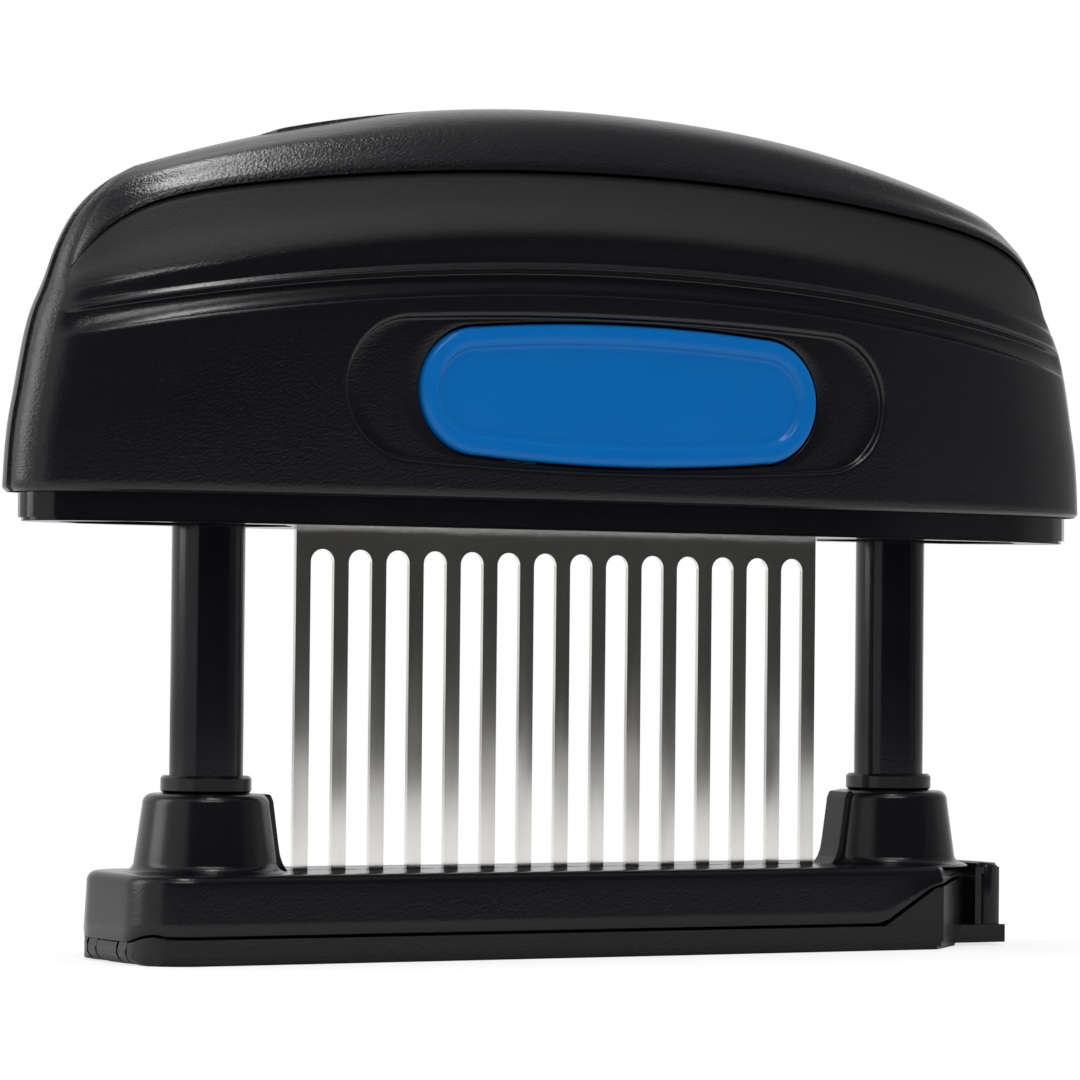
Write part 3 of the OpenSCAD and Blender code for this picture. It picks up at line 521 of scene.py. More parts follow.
def skin_point(i, row, inward=0.0):
    """Point of the handle's skin on station i, in millimetres."""
    z, drop, half, side_in, groove, corner = row
    s = math.sin(math.radians(ring_u[i]))
    tip = i in (0, SIDE_N)
    y0 = 0.0 if tip else plan_y(s * A)
    side = -1 if i <= SIDE_N else 1
    on_front = side < 0 and not tip
    nx, ny = plan_normal(s * A, side * max(y0, 1e-6))
    from_top = z - HANDLE_TOP
    if side_in > LIP_IN + 0.5 and z < LIP_Z + 2.5:
        ends = 0.0  # the ledge under the strip keeps its own shape
    else:
        ends = smooth_step((abs(s) - ENDS_FROM) / ENDS_OVER)
        ends *= 1 - smooth_step((from_top + ENDS_BELOW) / FADE_H)
    fade = max(0.0, min(1.0, (BAND_S - abs(s)) / RUN_OUT))
    side_in = side_in + ends * (np.interp(z - drop - corner, tip_z, tip_in) - side_in)
    side_in = side_in + groove * GROOVE_DEPTH * fade * (2 - fade)
    half = half + ends * (np.interp(z - drop - corner, tip_z, tip_half) - half)
    if on_front:
        near_tip = max(0.0, 1 - y0 / PARTING_REACH)
        fading = 1 - smooth_step((from_top + STEP_BELOW) / FADE_H)
        inward = inward + PARTING_STEP * near_tip * fading
    x = s * half - nx * inward
    y = side * y0 * (B - side_in) / B - (0 if tip else ny * min(inward, y0))
    high = z - drop * s * s - corner * min(1.0, abs(s) / BAND_S) ** CORNER_SHARP
    crest = smooth_step((from_top + CREST_H) / CREST_H)
    start, run = FRONT_SINKS if on_front and from_top < -0.001 else REAR_SINKS
    sink = CREST_SINK * (1 - smooth_step((x - RIGHT_OF) / RIGHT_RUN))
    sink += END_SINK * smooth_step((start - x) / run)
    return (x, y, high - crest * sink)


print("top of the crest", [round(c, 2) for c in skin_point(SIDE_N // 2, crown_rows[-1])])

# %% [markdown]
# ## From points to pieces
# A piece is a mesh made from lists of points and faces. It rides on the body that carries it and
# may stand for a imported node. A small bevel gives an edge the radius of the moulding tool.

# %% Mesh helpers
def mesh_piece(name, points, faces, finish, body, slot, node=None, smooth=True):
    mesh = bpy.data.meshes.new(name)
    mesh.from_pydata([tuple(c * MM for c in p) for p in points], [], faces)
    mesh.validate()
    for polygon in mesh.polygons:
        polygon.use_smooth = smooth
    mesh.materials.append(finish)
    piece = bpy.data.objects.new(name, mesh)
    bpy.context.scene.collection.objects.link(piece)
    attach(piece, body)
    if node:
        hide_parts(node)
    return piece


def soften(piece, width_mm, segments, angle):
    bevel = piece.modifiers.new("edge", "BEVEL")
    bevel.width, bevel.segments = width_mm * MM, segments
    bevel.limit_method, bevel.angle_limit = "ANGLE", math.radians(angle)
    bevel.harden_normals = False


def loop_faces(loops, n):
    """Quads between rings of n points each."""
    return [(k * n + i, k * n + (i + 1) % n, (k + 1) * n + (i + 1) % n, (k + 1) * n + i)
            for k in range(loops - 1) for i in range(n)]


print("faces of one ring", len(loop_faces(2, RING_N)))

# %% [markdown]
# ## The outline of the recess and the button
# Both are obrounds whose long sides bow out a little, one inside the other. They lie on the front
# of the skirt, so a helper finds where that front is at any place.

# %% Recess and button outline
BUTTON_Z, RECESS_LEN, RECESS_H, RECESS_DEPTH = SEAM_Z + 0.265 * HANDLE_H, 72.8, 18.2, 0.9
BUTTON_LEN, BUTTON_H, BOW, BUTTON_FACE = 53.8, 16.7, 0.9, 0.3
WINDOW_GAP = 0.3
RECESS = (RECESS_LEN / 2, RECESS_H / 2, BOW)
BUTTON = (BUTTON_LEN / 2, BUTTON_H / 2, BOW)


def obround(half_len, half_h, bow, grow=0.0, arc=14, side=26):
    """The outline of the recess or button, grown by grow, with slightly bowed long sides."""
    r = half_h - bow
    xe = half_len - r
    half_h, r = half_h + grow, r + grow
    top = [(xe * k / side, half_h - bow * (k / side) ** 2) for k in range(side, -side, -1)]
    left = [(-xe + r * math.cos(a), r * math.sin(a))
            for a in np.linspace(math.pi / 2, 1.5 * math.pi, 2 * arc + 1)[:-1]]
    bottom = [(-x, -z) for x, z in top]
    right = [(-x, -z) for x, z in left]
    return top + left + bottom + right


def side_y(x, z, out=0.0):
    """Where the front of the skirt is at x and height z, moved outwards by out."""
    level, half = z, A
    for _ in range(4):
        s = min(1.0, abs(x) / half)
        level = z + np.interp(level, fine_rows[:, 0], fine_rows[:, 1]) * s * s
        half = np.interp(level, fine_rows[:, 0], fine_rows[:, 2])
    side_in = np.interp(level, fine_rows[:, 0], fine_rows[:, 3])
    return -(plan_y(s * A) * (B - side_in) / B + out)


def skirt_loop(outline, out):
    """An outline laid on the front of the skirt, round the button's middle."""
    return [(x, side_y(x, BUTTON_Z + z, out), BUTTON_Z + z) for x, z in outline]


def looped(name, loops, *rest):
    points = [point for loop in loops for point in loop]
    return mesh_piece(name, points, loop_faces(len(loops), len(loops[0])), *rest)


print("outline", len(obround(*RECESS)), "points")

# %% [markdown]
# ## The shell
# The real shell is one moulding. Its skin could be sculpted, or built from a few loops and
# subdivided, but the groove and the facet need crisp, even edges all round, so the skin is laid
# out row by row. The groove runs out just short of the end bands, as a moulding tool leaves it.
# Faces inside the recess are left out, and points that would hang over it move to its rim.

# %% Shell
LEDGE_ROWS = [(LIP_Z + 0.05, 7.2, TIP - 3.4, LIP_IN + 0.6, 0, FACET_CORNER),
              (LIP_Z + 0.1, 7.2, TIP - 4.6, LIP_IN + 1.9, 0, FACET_CORNER),
              (LIP_Z + 2.2, 7.2, TIP - 5.2, LIP_IN + 2.6, 0, FACET_CORNER)]
END_ARC = RECESS_H / 2 - BOW
ARC_X = RECESS_LEN / 2 - END_ARC
HOLE_RIM, SKIRT_RIM = -0.1, 0.5
FACET_FROM, FACET_OVER = FACET_Z - 0.6, 1.4


def beyond(x, z):
    """How far x, z lies outside the recess outline; less than nothing inside it."""
    if abs(x) <= ARC_X:
        return abs(z - BUTTON_Z) - (RECESS_H / 2 - BOW * (x / ARC_X) ** 2)
    return math.hypot(abs(x) - ARC_X, z - BUTTON_Z) - END_ARC


def keep_off(x, z):
    """Moves a point of the skirt that would hang over the recess out to its rim."""
    if abs(x) <= ARC_X:
        reach = RECESS_H / 2 - BOW * (x / ARC_X) ** 2 + SKIRT_RIM
        return (x, BUTTON_Z + math.copysign(reach, z - BUTTON_Z))
    dx, dz = abs(x) - ARC_X, z - BUTTON_Z
    k = (END_ARC + SKIRT_RIM) / max(math.hypot(dx, dz), 1e-6)
    return (math.copysign(ARC_X + dx * k, x), BUTTON_Z + dz * k)


def shell():
    rows = np.vstack([fine_rows, LEDGE_ROWS])
    points = [skin_point(i, row) for row in rows for i in range(RING_N)]
    faces = []
    for quad in loop_faces(len(rows), RING_N):
        x, y, z = (sum(points[q][c] for q in quad) / 4 for c in range(3))
        over_recess = y < 0 and beyond(x, z) < HOLE_RIM
        under_strip = all(in_band(q % RING_N) for q in quad)
        if not over_recess and not under_strip:
            faces.append(quad)
    for q in {q for quad in faces for q in quad}:
        x, y, z = points[q]
        if y < 0 and beyond(x, z) < SKIRT_RIM:
            x, z = keep_off(x, z)
            points[q] = (x, side_y(x, z), z)
    piece = mesh_piece("shell_skin", points, faces, shell_finish, "handle", "black_shell",
                       "handle_shell")
    facet = [max(0.0, min(1.0, (row[0] - FACET_FROM) / FACET_OVER))
             for row in rows for _ in range(RING_N)]
    piece.data.attributes.new("facet", "FLOAT", "POINT").data.foreach_set("value", facet)
    return piece


print("shell", len(shell().data.polygons), "faces")

# %% [markdown]
# ## The finger recess
# A shallow obround pan round the button, with a rounded lip, a steep wall and a small fillet. It
# is a band of loops between the recess outline and the button's window, and its outermost loops
# lie on the skirt itself, so no cut is needed and the lip stays crisp.

# %% Recess pan
PAN_WALL = [(1.25, 0.003), (1.0, 0.004), (0.8, 0.004), (0.6, 0.004), (0.45, 0.0), (0.3, -0.03),
            (0.15, -0.1), (0.05, -0.2), (0.0, -0.32), (-0.05, -0.62), (-0.1, -0.76),
            (-0.2, -0.86), (-0.33, -RECESS_DEPTH)]
PAN_WINDOW = [(WINDOW_GAP + 0.05, -0.93), (WINDOW_GAP, -1.02), (WINDOW_GAP, -2.8)]


def recess_pan():
    loops = [skirt_loop(obround(*RECESS, grow), out) for grow, out in PAN_WALL]
    outer, inner = obround(*RECESS, PAN_WALL[-1][0]), obround(*BUTTON, WINDOW_GAP + 0.12)
    for t in (0.25, 0.5, 0.75, 1.0):
        floor = [(a[0] + (b[0] - a[0]) * t, a[1] + (b[1] - a[1]) * t)
                 for a, b in zip(outer, inner)]
        loops.append(skirt_loop(floor, -RECESS_DEPTH))
    loops += [skirt_loop(obround(*BUTTON, grow), out) for grow, out in PAN_WINDOW]
    return looped("recess_pan", loops, shell_finish, "handle", "black_shell", "handle_shell")


print("recess", len(recess_pan().data.polygons), "faces")

# %% [markdown]
# ## The button
# Blue plastic with a rounded raised border and a flat field sunk in it. The loops run from the
# back edge over the border to the middle line of the field.

# %% Button
FIELD_SINK, FIELD_IN, FIELD_END = 0.66, -3.2, 8
BUTTON_EDGE = [(0, -2.6 + BUTTON_FACE), (0, -0.75), (-0.03, -0.5), (-0.12, -0.28),
               (-0.28, -0.12), (-0.5, -0.03), (-0.8, 0.02), (-1.2, 0.03), (-1.6, 0),
               (-1.95, -0.05), (-2.2, -0.16), (-2.36, -0.36), (-2.48, -0.54),
               (-2.62, -0.63), (-2.85, -FIELD_SINK), (FIELD_IN, -FIELD_SINK)]


def release_button():
    loops = [skirt_loop(obround(*BUTTON, grow), out - BUTTON_FACE) for grow, out in BUTTON_EDGE]
    field = obround(*BUTTON, FIELD_IN)
    reach = BUTTON_LEN / 2 - FIELD_END
    for t in (0.3, 0.6, 0.85, 1.0):
        ring = [(x + (max(-reach, min(reach, x)) - x) * t, z * (1 - t)) for x, z in field]
        loops.append(skirt_loop(ring, -BUTTON_FACE - FIELD_SINK))
    return looped("button_skin", loops, button_finish, "button", "blue_button", "release_button")


print("button", len(release_button().data.polygons), "faces")

# %% [markdown]
# ## The crown strip
# One softer piece covers the crown and runs down both ends. It is laid on the same stations as
# the shell, its free edge is turned in by its own thickness, and a small bevel rounds that edge.

# %% Crown strip
def strip_faces(first_high, top):
    """Faces over the whole crown, and below it only in the end bands; the crest's points join."""
    def index(i, j):
        k = i % RING_N
        return j * RING_N + (RING_N - k if j == top and k > SIDE_N else k)

    faces = []
    for j in range(top):
        for i in range(RING_N):
            if j >= first_high or in_band(i) and in_band((i + 1) % RING_N):
                around = (index(i, j), index(i + 1, j), index(i + 1, j + 1), index(i, j + 1))
                face = tuple(dict.fromkeys(around))
                if len(face) > 2:
                    faces.append(face)
    return faces


def crown_strip():
    high = fill_rows(crown_rows, CROWN_STEPS)
    near_crest = high[-1].copy()
    near_crest[0], near_crest[3] = HANDLE_TOP - 0.005, B - 0.14
    rows = np.vstack([fine_rows, high[:-1], near_crest, high[-1]])
    first_high = len(fine_rows)
    points = [skin_point(i, row) for row in rows for i in range(RING_N)]
    faces = strip_faces(first_high, len(rows) - 1)
    edges = {}
    for face in faces:
        for a, b in zip(face, face[1:] + face[:1]):
            edges.setdefault((min(a, b), max(a, b)), []).append((a, b))
    turned_in = {}
    for (a, b), *others in edges.values():
        if others or a // RING_N != first_high or b // RING_N != first_high:
            continue
        for v in (a, b):
            if v not in turned_in:
                turned_in[v] = len(points)
                points.append(skin_point(v % RING_N, rows[first_high], STRIP_T * 0.8))
        faces.append((b, a, turned_in[a], turned_in[b]))
    piece = mesh_piece("crown_strip", points, faces, strip_finish, "handle", "grey_strip",
                       "grip_strip")
    soften(piece, 0.22, segments=3, angle=50)
    return piece


print("strip", len(crown_strip().data.polygons), "faces")

# %% [markdown]
# ## Base housing and cover
# Both are plain mouldings with round edges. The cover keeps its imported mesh. The housing is built
# from rings: the plan outline, set in a little more on each ring as the edge turns over, and
# capped by a slotted deck. The seam climbs at the right end, so each ring keeps above it.

# %% Base sizes and outline
MID = -0.9
COLUMN_X, COLUMN_D = 46.8, 8.5
BASE_TOP, BASE_W, BASE_LEFT, BASE_RIGHT = 10.2, 11.7, 59.2, 55.0
CHAMFER_X, CHAMFER_Y, CHAMFER_R, END_R = 7.6, 7.1, 0.9, 7.0
COVER_H, SEAM_GAP, BASE_WALL = 3.0, 0.3, 1.6
PIN_X, PIN_Z, KNUCKLE_R = -BASE_LEFT + 1.65, 1.65, 1.6
TINES, PITCH, TINE_W, COMB_T = 15, 4.96, 1.9, 0.6
SIDE_STEP = 1.5


def round_corner(before, corner, after, r, steps):
    """Points of an arc of radius r that rounds off one corner."""
    c = Vector(corner)
    u, v = (Vector(before) - c).normalized(), (Vector(after) - c).normalized()
    half = u.angle(v) / 2
    centre = c + (u + v).normalized() * (r / math.sin(half))
    start, end = c + u * (r / math.tan(half)), c + v * (r / math.tan(half))
    a0 = math.atan2(start.y - centre.y, start.x - centre.x)
    a1 = math.atan2(end.y - centre.y, end.x - centre.x)
    turn = (a1 - a0 + math.pi) % (2 * math.pi) - math.pi
    angles = [a0 + turn * k / steps for k in range(steps + 1)]
    return [(centre.x + r * math.cos(a), centre.y + r * math.sin(a)) for a in angles]


def between(start, end):
    """Extra points along a straight side."""
    a, b = Vector(start), Vector(end)
    n = max(1, int((b - a).length / SIDE_STEP))
    return [tuple(a + (b - a) * t / n) for t in range(1, n)]


def base_outline():
    """The plan of the base, round its outside, with extra points along the straight sides."""
    nose, flank = BASE_RIGHT - CHAMFER_X, BASE_W - CHAMFER_Y
    corners = [(nose, -BASE_W, CHAMFER_R, 6), (BASE_RIGHT, -flank, CHAMFER_R, 6),
               (BASE_RIGHT, flank, CHAMFER_R, 6), (nose, BASE_W, CHAMFER_R, 6),
               (-BASE_LEFT, BASE_W, END_R, 18), (-BASE_LEFT, -BASE_W, END_R, 18)]
    out = []
    for k, (x, y, r, steps) in enumerate(corners):
        before, after = corners[k - 1][:2], corners[(k + 1) % len(corners)][:2]
        arc = round_corner(before, (x, y), after, r, steps)
        out += (between(out[-1], arc[0]) if out else []) + arc
    return out + between(out[-1], out[0])


def inset(outline, depth):
    """The outline moved in by depth; it stays round because its corners are arcs."""
    out = []
    for k, point in enumerate(outline):
        a, p, b = Vector(outline[k - 1]), Vector(point), Vector(outline[(k + 1) % len(outline)])
        e1, e2 = (p - a).normalized(), (b - p).normalized()
        n1, n2 = Vector((-e1.y, e1.x)), Vector((-e2.y, e2.x))
        out.append(tuple(p + (n1 + n2) * depth / (1 + n1.dot(n2))))
    return out


outline = base_outline()
print("base outline", len(outline), "points")

# %% [markdown]
# ## A deck with slots
# A flat deck with fifteen slots could be cut by a boolean. Triangles between the outline and the
# slots' corners give the same deck at once, and each slot is then walled down to the deck below.

# %% Deck with slots
def slot_rects(grow):
    w, h = TINE_W / 2 + grow, COMB_T / 2 + grow
    middles = [(k - (TINES - 1) / 2) * PITCH for k in range(TINES)]
    return [[(x - w, -h), (x - w, h), (x + w, h), (x + w, -h)] for x in middles]


def deck(points, faces, ring_start, ring, z, rects, flip):
    """Caps a ring with a flat deck that has the slots in it, and returns each slot's corners."""
    loops = [[Vector((x, y, 0)) for x, y in line] for line in [ring] + rects]
    index = list(range(ring_start, ring_start + len(ring)))
    corners = []
    for r in rects:
        corners.append(list(range(len(points), len(points) + 4)))
        index += corners[-1]
        points += [(x, y, z) for x, y in r]
    for tri in tessellate_polygon(loops):
        face = tuple(index[t] for t in tri)
        a, b, c = (Vector(points[f]) for f in face)
        up = (b - a).cross(c - a).z > 0
        faces.append(face if up != flip else face[::-1])
    return corners


def slotted(name, rings, rects, inner_z, outer_z, *rest):
    """rings run from the inner deck's edge, out over the rim, to the outer deck's edge."""
    n = len(rings[0][0])
    points = [(x, y, z) for line, zs in rings for (x, y), z in zip(line, zs)]
    faces = loop_faces(len(rings), n)
    inner = deck(points, faces, 0, rings[0][0], inner_z, rects, True)
    outer = deck(points, faces, (len(rings) - 1) * n, rings[-1][0], outer_z, rects, False)
    for low, high in zip(inner, outer):
        faces += [(low[k], low[(k + 1) % 4], high[(k + 1) % 4], high[k]) for k in range(4)]
    return mesh_piece(name, [(x + MID, y, z) for x, y, z in points], faces, *rest)


print("slots", len(slot_rects(0)))

# %% [markdown]
# ## The housing
# Its lower edge follows the seam, and lifts over the hinge's knuckle at the left end. The walls
# lean in by 0.3 mm, as a moulding has to, and the top edge turns over on a quarter round.

# %% Housing
DECK_Z = BASE_TOP - BASE_WALL
RIM, DRAFT, FOOT, HIGHEST_FOOT = 1.15, 0.3, 0.25, 9.0
DECK_IN, SLOT_ROOM = 2.4, 0.35
SEAM_MARKS = [(-90, COVER_H), (39, COVER_H), (46.3, BASE_TOP - 2.7), (51.8, BASE_TOP - 1.9),
              (90, BASE_TOP - 1.9)]


def seam_height(x):
    return float(np.interp(x, *zip(*SEAM_MARKS)))


def housing_low(x):
    low = seam_height(x + 0.2) + SEAM_GAP
    r = KNUCKLE_R + SEAM_GAP
    if abs(x - PIN_X) < r:
        low = max(low if x > PIN_X else 0, PIN_Z + math.sqrt(r * r - (x - PIN_X) ** 2))
    elif x < PIN_X:
        low = PIN_Z
    return low


def housing():
    wall = inset(outline, BASE_WALL)
    low = [housing_low(x) for x, y in outline]
    rings = [(wall, [DECK_Z] * len(wall)),
             (wall, [min(DECK_Z, housing_low(x) + 0.2) for x, y in wall])]
    for depth, lift in [(BASE_WALL - 0.25, 0.0), (0.3, 0.0), (0.1, 0.06), (0.0, FOOT)]:
        rings.append((inset(outline, depth), [min(z + lift, HIGHEST_FOOT) for z in low]))
    for t in (0.25, 0.5, 0.75, 1.0):
        rings.append((inset(outline, DRAFT * t),
                      [z + FOOT + max(0.0, BASE_TOP - RIM - z - FOOT) * t for z in low]))
    for k in range(1, 9):
        a = math.pi / 2 * k / 8
        level = BASE_TOP - RIM + RIM * math.sin(a)
        rings.append((inset(outline, DRAFT + RIM * (1 - math.cos(a))),
                      [max(level, z + 0.26 + 0.01 * k) for z in low]))
    flat = [BASE_TOP] * len(outline)
    rings[-1] = (rings[-1][0], flat)
    rings.append((inset(outline, DECK_IN), flat))
    return slotted("housing_skin", rings, slot_rects(SLOT_ROOM), DECK_Z, BASE_TOP,
                   base_finish, "base", "black_shell", "base_housing")


print("housing", len(housing().data.polygons), "faces")

# %% [markdown]
# ## Column bosses
# Each boss is a turned shape: a concave flare at the foot, a slightly tapered wall, a round
# shoulder and a flat top under the bumper ring. A profile turned round the column's axis gives it.

# %% Boss profile
def lathe(name, profile, at_x, finish, steps=96):
    """A turned piece on a column's axis: profile is a list of (radius, height)."""
    turns = [2 * math.pi * k / steps for k in range(steps)]
    points = [(at_x + MID + r * math.cos(a), r * math.sin(a), z) for r, z in profile for a in turns]
    faces = loop_faces(len(profile), steps)
    mesh_piece(name, points, faces, finish, "base", "black_shell", "base_housing")


SIDES = ((-1, "left"), (1, "right"))
BOSS_Z, BOSS_FOOT, BOSS_TOP = BASE_TOP + 9.0, 8.2, 7.2
WALL_R, BORE_R = BOSS_TOP + 0.1, COLUMN_D / 2 + 0.1
FLARE_R, SHOULDER_R = 1.25, 1.2
FLARE_Z = BASE_TOP + 0.03
WALL_Z, WALL_H = FLARE_Z + FLARE_R, BOSS_Z - 1.3 - BASE_TOP - 1.28

boss_profile = [(BOSS_FOOT + 1.7, BASE_TOP - 0.25), (BOSS_FOOT + 1.35, BASE_TOP + 0.02)]
boss_profile += [(BOSS_FOOT + 1.3 * (1 - math.sin(a)), FLARE_Z + FLARE_R * (1 - math.cos(a)))
                 for a in np.linspace(0.15, math.pi / 2, 9)]
boss_profile += [(BOSS_FOOT + (WALL_R - BOSS_FOOT) * t, WALL_Z + WALL_H * t)
                 for t in (0.33, 0.66, 1.0)]
boss_profile += [(WALL_R - SHOULDER_R * (1 - math.cos(a)),
                  BOSS_Z - SHOULDER_R + SHOULDER_R * math.sin(a))
                 for a in np.linspace(0.2, math.pi / 2, 8)]
boss_profile += [(BORE_R, BOSS_Z), (BORE_R, BOSS_Z - 2)]
print("boss profile", len(boss_profile), "points")

# %% [markdown]
# ## Gussets
# A rib with a sloping face and a concave foot stiffens each boss on the comb's side. It is a flat
# outline with some thickness, and a bevel rounds its edges.

# %% Bosses and gussets
def extruded(name, line, y0, y1, finish, flip):
    """A flat outline in x and z, from y0 to y1."""
    n = len(line)
    points = [(x + MID, y, z) for y in (y0, y1) for x, z in line]
    faces = [tuple(range(n)), tuple(range(2 * n - 1, n - 1, -1))]
    faces += [(k, n + k, n + (k + 1) % n, (k + 1) % n) for k in range(n)]
    if flip:
        faces = [face[::-1] for face in faces]
    return mesh_piece(name, points, faces, finish, "base", "black_shell", smooth=False)


GUSSET_HALF = 2.2
GUSSET = [(BOSS_FOOT + 1.5, BASE_TOP - 0.1), (BOSS_FOOT + 1.25, BASE_TOP + 0.2),
          (BOSS_FOOT + 0.75, BASE_TOP + 0.9), (BOSS_FOOT + 0.4, BASE_TOP + 1.8),
          (BOSS_FOOT + 0.15, BASE_TOP + 3.2), (BOSS_TOP + 0.45, BOSS_Z - 0.9),
          (BOSS_TOP + 0.1, BOSS_Z - 0.15), (BOSS_TOP - 0.6, BOSS_Z - 0.03),
          (BOSS_TOP - 1, BASE_TOP - 0.1)]
for side, word in SIDES:
    lathe(f"boss_{word}", boss_profile, side * COLUMN_X, base_finish)
    line = [(side * (COLUMN_X - r), z) for r, z in GUSSET]
    rib = extruded(f"gusset_{word}", line, -GUSSET_HALF, GUSSET_HALF, base_finish, side < 0)
    soften(rib, 0.3, segments=3, angle=35)
print("bosses and gussets", 2 * len(SIDES))

# %% [markdown]
# ## Inside the housing
# With the cover open, the pillars that the column screws go through and the two ears that hold
# the hinge pin come into view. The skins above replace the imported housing, so these are made too.

# %% Pillars and hinge ears
PILLAR_FOOT = COVER_H + SEAM_GAP
PILLAR = [(COLUMN_D / 2 + 1.1, DECK_Z + 0.1), (COLUMN_D / 2 + 1.1, PILLAR_FOOT + 0.2),
          (COLUMN_D / 2 + 0.9, PILLAR_FOOT), (2.7, PILLAR_FOOT), (2.5, PILLAR_FOOT + 0.2),
          (2.5, PILLAR_FOOT + 1.75), (1.3, PILLAR_FOOT + 1.75), (1.3, PILLAR_FOOT + 3.0)]
for side, word in SIDES:
    lathe(f"pillar_{word}", PILLAR, side * COLUMN_X, inner_finish, 48)

EAR_FROM, EAR_TO, EAR_TOP = 3.0, 5.2, 6.0
EAR = [(PIN_X + KNUCKLE_R * math.cos(a), PIN_Z + KNUCKLE_R * math.sin(a))
       for a in np.linspace(math.pi, 2 * math.pi, 17)]
EAR += [(PIN_X + 1.6, EAR_TOP), (PIN_X - 0.4, EAR_TOP)]
for word, y0, y1 in (("front", -EAR_TO, -EAR_FROM), ("back", EAR_FROM, EAR_TO)):
    ear = extruded(f"pin_lug_{word}", EAR, y0, y1, base_finish, False)
    soften(ear, 0.15, segments=2, angle=40)
print("pillars and ears", 4)

# %% [markdown]
# ## The latch finger
# A finger on the cover's right end springs over the housing and holds the cover shut. Its outer
# half is rounded where a thumb pushes it, and a narrow dark slot stays between it and the rest.
# Rings that grow and shrink with height give the rounded edges at the foot and the top.

# %% Latch pad
PAD_FROM, PAD_TO, PAD_HALF, PAD_R = 57.65, 60.64, 5.44, 2.2
PAD_RINGS = [(0.35, 0.36), (0.12, 0.5), (0.0, 0.8), (0.0, 3.0), (0.04, 6.0), (0.0, 9.72),
             (0.22, 9.98), (0.42, 10.16), (0.8, 10.24)]


def latch_pad():
    points = []
    for depth, z in PAD_RINGS:
        r = PAD_R - depth
        arc = [(PAD_TO - PAD_R + r * math.cos(a), PAD_HALF - PAD_R + r * math.sin(a))
               for a in np.linspace(0, math.pi / 2, 13)]
        ring = [(x, -y) for x, y in reversed(arc)] + arc
        ring += [(PAD_FROM, PAD_HALF - depth), (PAD_FROM, depth - PAD_HALF)]
        points += [(x + MID, y, z) for x, y in ring]
    n = len(ring)
    faces = loop_faces(len(PAD_RINGS), n)
    faces += [tuple(range(n - 1, -1, -1)), tuple(range(len(points) - n, len(points)))]
    return mesh_piece("latch_pad", points, faces, base_finish, "cover", "black_shell")


print("latch pad", len(latch_pad().data.polygons), "faces")

# %% [markdown]
# ## Springs
# A spring is wire on a helix. A curve with a round bevel would draw it; here each spring is a swept
# ring mesh of fixed length, riding on the body that carries it.

# %% Springs
PER_TURN, WIRE_SIDES = 28, 10


def coil(name, start, along, outer_d, wire, length, turns, body, node):
    """A spring from start along a unit vector."""
    along = Vector(along)
    side = along.orthogonal().normalized()
    other = along.cross(side)
    r, steps = (outer_d - wire) / 2, turns * PER_TURN
    round_wire = [2 * math.pi * q / WIRE_SIDES for q in range(WIRE_SIDES)]
    points = []
    for k in range(steps + 1):
        a = 2 * math.pi * k / PER_TURN
        out = side * math.cos(a) + other * math.sin(a)
        centre = Vector(start) + out * r + along * (wire / 2 + (length - wire) * k / steps)
        points += [tuple(centre + (out * math.cos(b) + along * math.sin(b)) * wire / 2)
                   for b in round_wire]
    faces = loop_faces(steps + 1, WIRE_SIDES)
    faces.append(tuple(range(WIRE_SIDES - 1, -1, -1)))
    faces.append(tuple(range(len(points) - WIRE_SIDES, len(points))))
    piece = mesh_piece(name, points, faces, spring_finish, body, "spring_steel", node)
    tuple(c * MM for c in start)
    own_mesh(piece)


SPRING_LOW, SPRING_HIGH, SPRING_TURNS, PRESS = 13.1, 87.0, 13, 28.5
BUTTON_SPRING_X, BUTTON_SPRING_TURNS, BUTTON_TRAVEL = 12, 7, 1.8
spring_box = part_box("button_springs")
BACK_Y, FREE_Y = spring_box[1][1] / MM, spring_box[0][1] / MM - BUTTON_TRAVEL
for side, word in SIDES:
    coil(f"spring_{word}", (side * COLUMN_X + MID, 0, SPRING_LOW), (0, 0, 1), 4.9, 0.8,
         SPRING_HIGH - SPRING_LOW, SPRING_TURNS, "base",
         f"return_spring_{word}")
for side, word in SIDES:
    coil(f"button_spring_{word}", (side * BUTTON_SPRING_X, BACK_Y, BUTTON_Z), (0, -1, 0), 4.2, 0.6,
         BACK_Y - FREE_Y, BUTTON_SPRING_TURNS, "handle",
         "button_springs")
print("button springs run from", round(FREE_Y, 2), "to", round(BACK_Y, 2))

# %% [markdown]
# ## The table
# A pale table under the tool. To the camera it turns to plain white further out, so that the
# picture has a white ground, and near the tool it stays a lit surface and shows its shadow.

# %% Table
TABLE_HALF = 3.2
CAMERA_RAY, GLOSSY_RAY, THROUGH_RAY = 0, 3, 6  # outputs of the Light Path node


def stage_sheet(name, points, faces, material):
    """A sheet of the studio, which isn't part of the tool."""
    mesh = bpy.data.meshes.new(name)
    mesh.from_pydata(points, [], faces)
    mesh.materials.append(material)
    sheet = bpy.data.objects.new(name, mesh)
    bpy.context.scene.collection.objects.link(sheet)
    return sheet


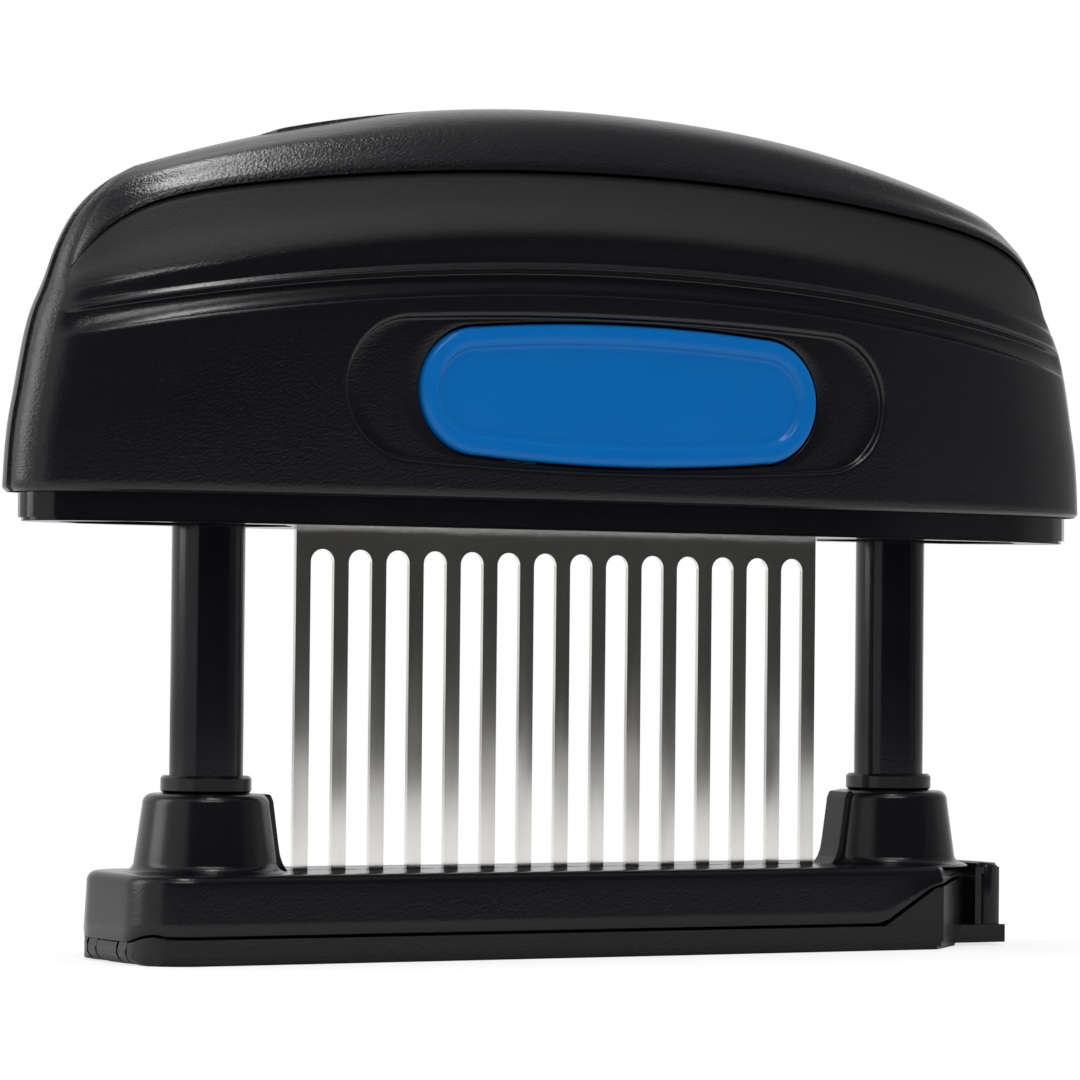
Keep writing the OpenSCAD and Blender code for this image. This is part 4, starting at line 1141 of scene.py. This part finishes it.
def table_white():
    f = Finish("table_white", 0.1, base_color=(0.9, 0.9, 0.9), roughness=0.8)
    glow = f.node("ShaderNodeEmission", inputs={"Color": (1.0, 1.0, 1.0), "Strength": 1.0})[0]
    seen = f.node("ShaderNodeLightPath")[CAMERA_RAY]
    away = f.node("ShaderNodeVectorMath", {"operation": "LENGTH"}, {0: f.here()})[1]
    stops = {"stops": ((0.35, 0.72), (0.75, 1.0))}
    white = f.node("ShaderNodeValToRGB", stops, {"Fac": away * 4.0})[0]
    lit = Value(f, f.shader.outputs[0])
    mixed = f.node("ShaderNodeMixShader", inputs={0: seen * white, 1: lit, 2: glow})[0]
    f.feed(f.tree.nodes["Material Output"], {"Surface": mixed})
    return f.material


corners = [(x * TABLE_HALF, y * TABLE_HALF, 0) for x, y in ((-1, -1), (1, -1), (1, 1), (-1, 1))]
stage_sheet("table", corners, [(0, 1, 2, 3)], table_white())
print("table", 2 * TABLE_HALF, "m wide")

# %% [markdown]
# ## What the tool mirrors
# Black gloss and polished steel show the room more than themselves. Behind the camera the room is
# dark and turns grey to the right, and the front of the handle and the upper half of the comb
# mirror that. Sheets that only reflections see do it without dimming the light.

# %% Dark side of the room
CARD_AWAY, CARD_W, CARD_H = 1.3, 0.62, 1.3
CARDS = [(-45, 0.03), (-20, 0.02), (5, 0.02), (30, 0.04), (55, 0.25), (80, 0.5), (104, 0.6)]
CEILING_Z, CEILING_SHADE = 1.4, 0.45
FLOOR_FROM, FLOOR_TO, FLOOR_SHADE, FLOOR_STEPS = 0.8, 1.5, 0.03, 12


def mirrored(name, points, faces, shade, finish_name=None):
    """A sheet that shows only as a reflection in the tool."""
    f = Finish(finish_name or name, base_color=(shade, shade, shade), roughness=0.9)
    sheet = stage_sheet(name, points, faces, f.material)
    sheet.visible_camera = sheet.visible_diffuse = sheet.visible_shadow = False


def card_corners(azimuth):
    """Corners of a card that faces the tool; azimuth 0 is in front of the button side."""
    a = math.radians(azimuth)
    at = Vector((math.sin(a), -math.cos(a), 0)) * CARD_AWAY
    across = Vector((math.cos(a), math.sin(a), 0)) * CARD_W / 2
    up = Vector((0, 0, CARD_H))
    return [tuple(c) for c in (at - across, at + across, at + across + up, at - across + up)]


for k, (azimuth, shade) in enumerate(CARDS):
    mirrored(f"dark_card_{k}", card_corners(azimuth), [(0, 1, 2, 3)], shade)
board = [(x, y, CEILING_Z) for x, y in ((-0.9, -1.25), (1.6, -1.25), (1.6, 1.0), (-0.9, 1.0))]
mirrored("ceiling", board, [(0, 1, 2, 3)], CEILING_SHADE, "ceiling_grey")
ring = [(r * math.sin(a), -r * math.cos(a), 0.001)
        for r in (FLOOR_FROM, FLOOR_TO) for a in np.linspace(-1.1, 1.3, FLOOR_STEPS + 1)]
strips = [(k, k + 1, k + FLOOR_STEPS + 2, k + FLOOR_STEPS + 1) for k in range(FLOOR_STEPS)]
mirrored("dark_floor", ring, strips, FLOOR_SHADE)
print("cards", len(CARDS), "and a ceiling and a floor")

# %% [markdown]
# ## Lamps and room
# Soft light from large lamps and a white room. A long narrow lamp overhead draws the streak along
# the crown, one at the left lights that end, and one in front and above lifts the facet.

# %% Lamps and room
ROOM_LIGHT = 0.55


def add_lamp(name, at, size, energy, aim=(0, 0, 0.06)):
    data = bpy.data.lights.new(name, "AREA")
    data.shape, data.size, data.size_y, data.energy = "RECTANGLE", size[0], size[1], energy
    lamp = bpy.data.objects.new(name, data)
    bpy.context.scene.collection.objects.link(lamp)
    lamp.location = at
    lamp.rotation_euler = (Vector(aim) - Vector(at)).to_track_quat("-Z", "Y").to_euler()


def add_room():
    """White to the camera and in reflections, and dimmer as light on the tool."""
    world = bpy.data.worlds.new("room")
    bpy.context.scene.world = world
    world.use_nodes = True
    g = Graph(world.node_tree)
    ray = g.node("ShaderNodeLightPath")
    seen = ray[CAMERA_RAY].or_more(ray[GLOSSY_RAY]).or_more(ray[THROUGH_RAY])
    g.feed(g.tree.nodes["Background"],
           {"Color": (1.0, 1.0, 1.0), "Strength": ROOM_LIGHT + (1 - ROOM_LIGHT) * seen})


add_lamp("lamp_streak", (-0.03, 0.0, 0.8), (0.62, 0.11), 4.2)
add_lamp("lamp_left", (-0.8, 0.35, 0.35), (0.4, 0.6), 3.0)
add_lamp("lamp_front", (-0.3, -1.0, 1.1), (0.8, 0.3), 6.5)
add_room()
bpy.context.scene.view_settings.view_transform = "Standard"
print("lamps", 3, "room light", ROOM_LIGHT)
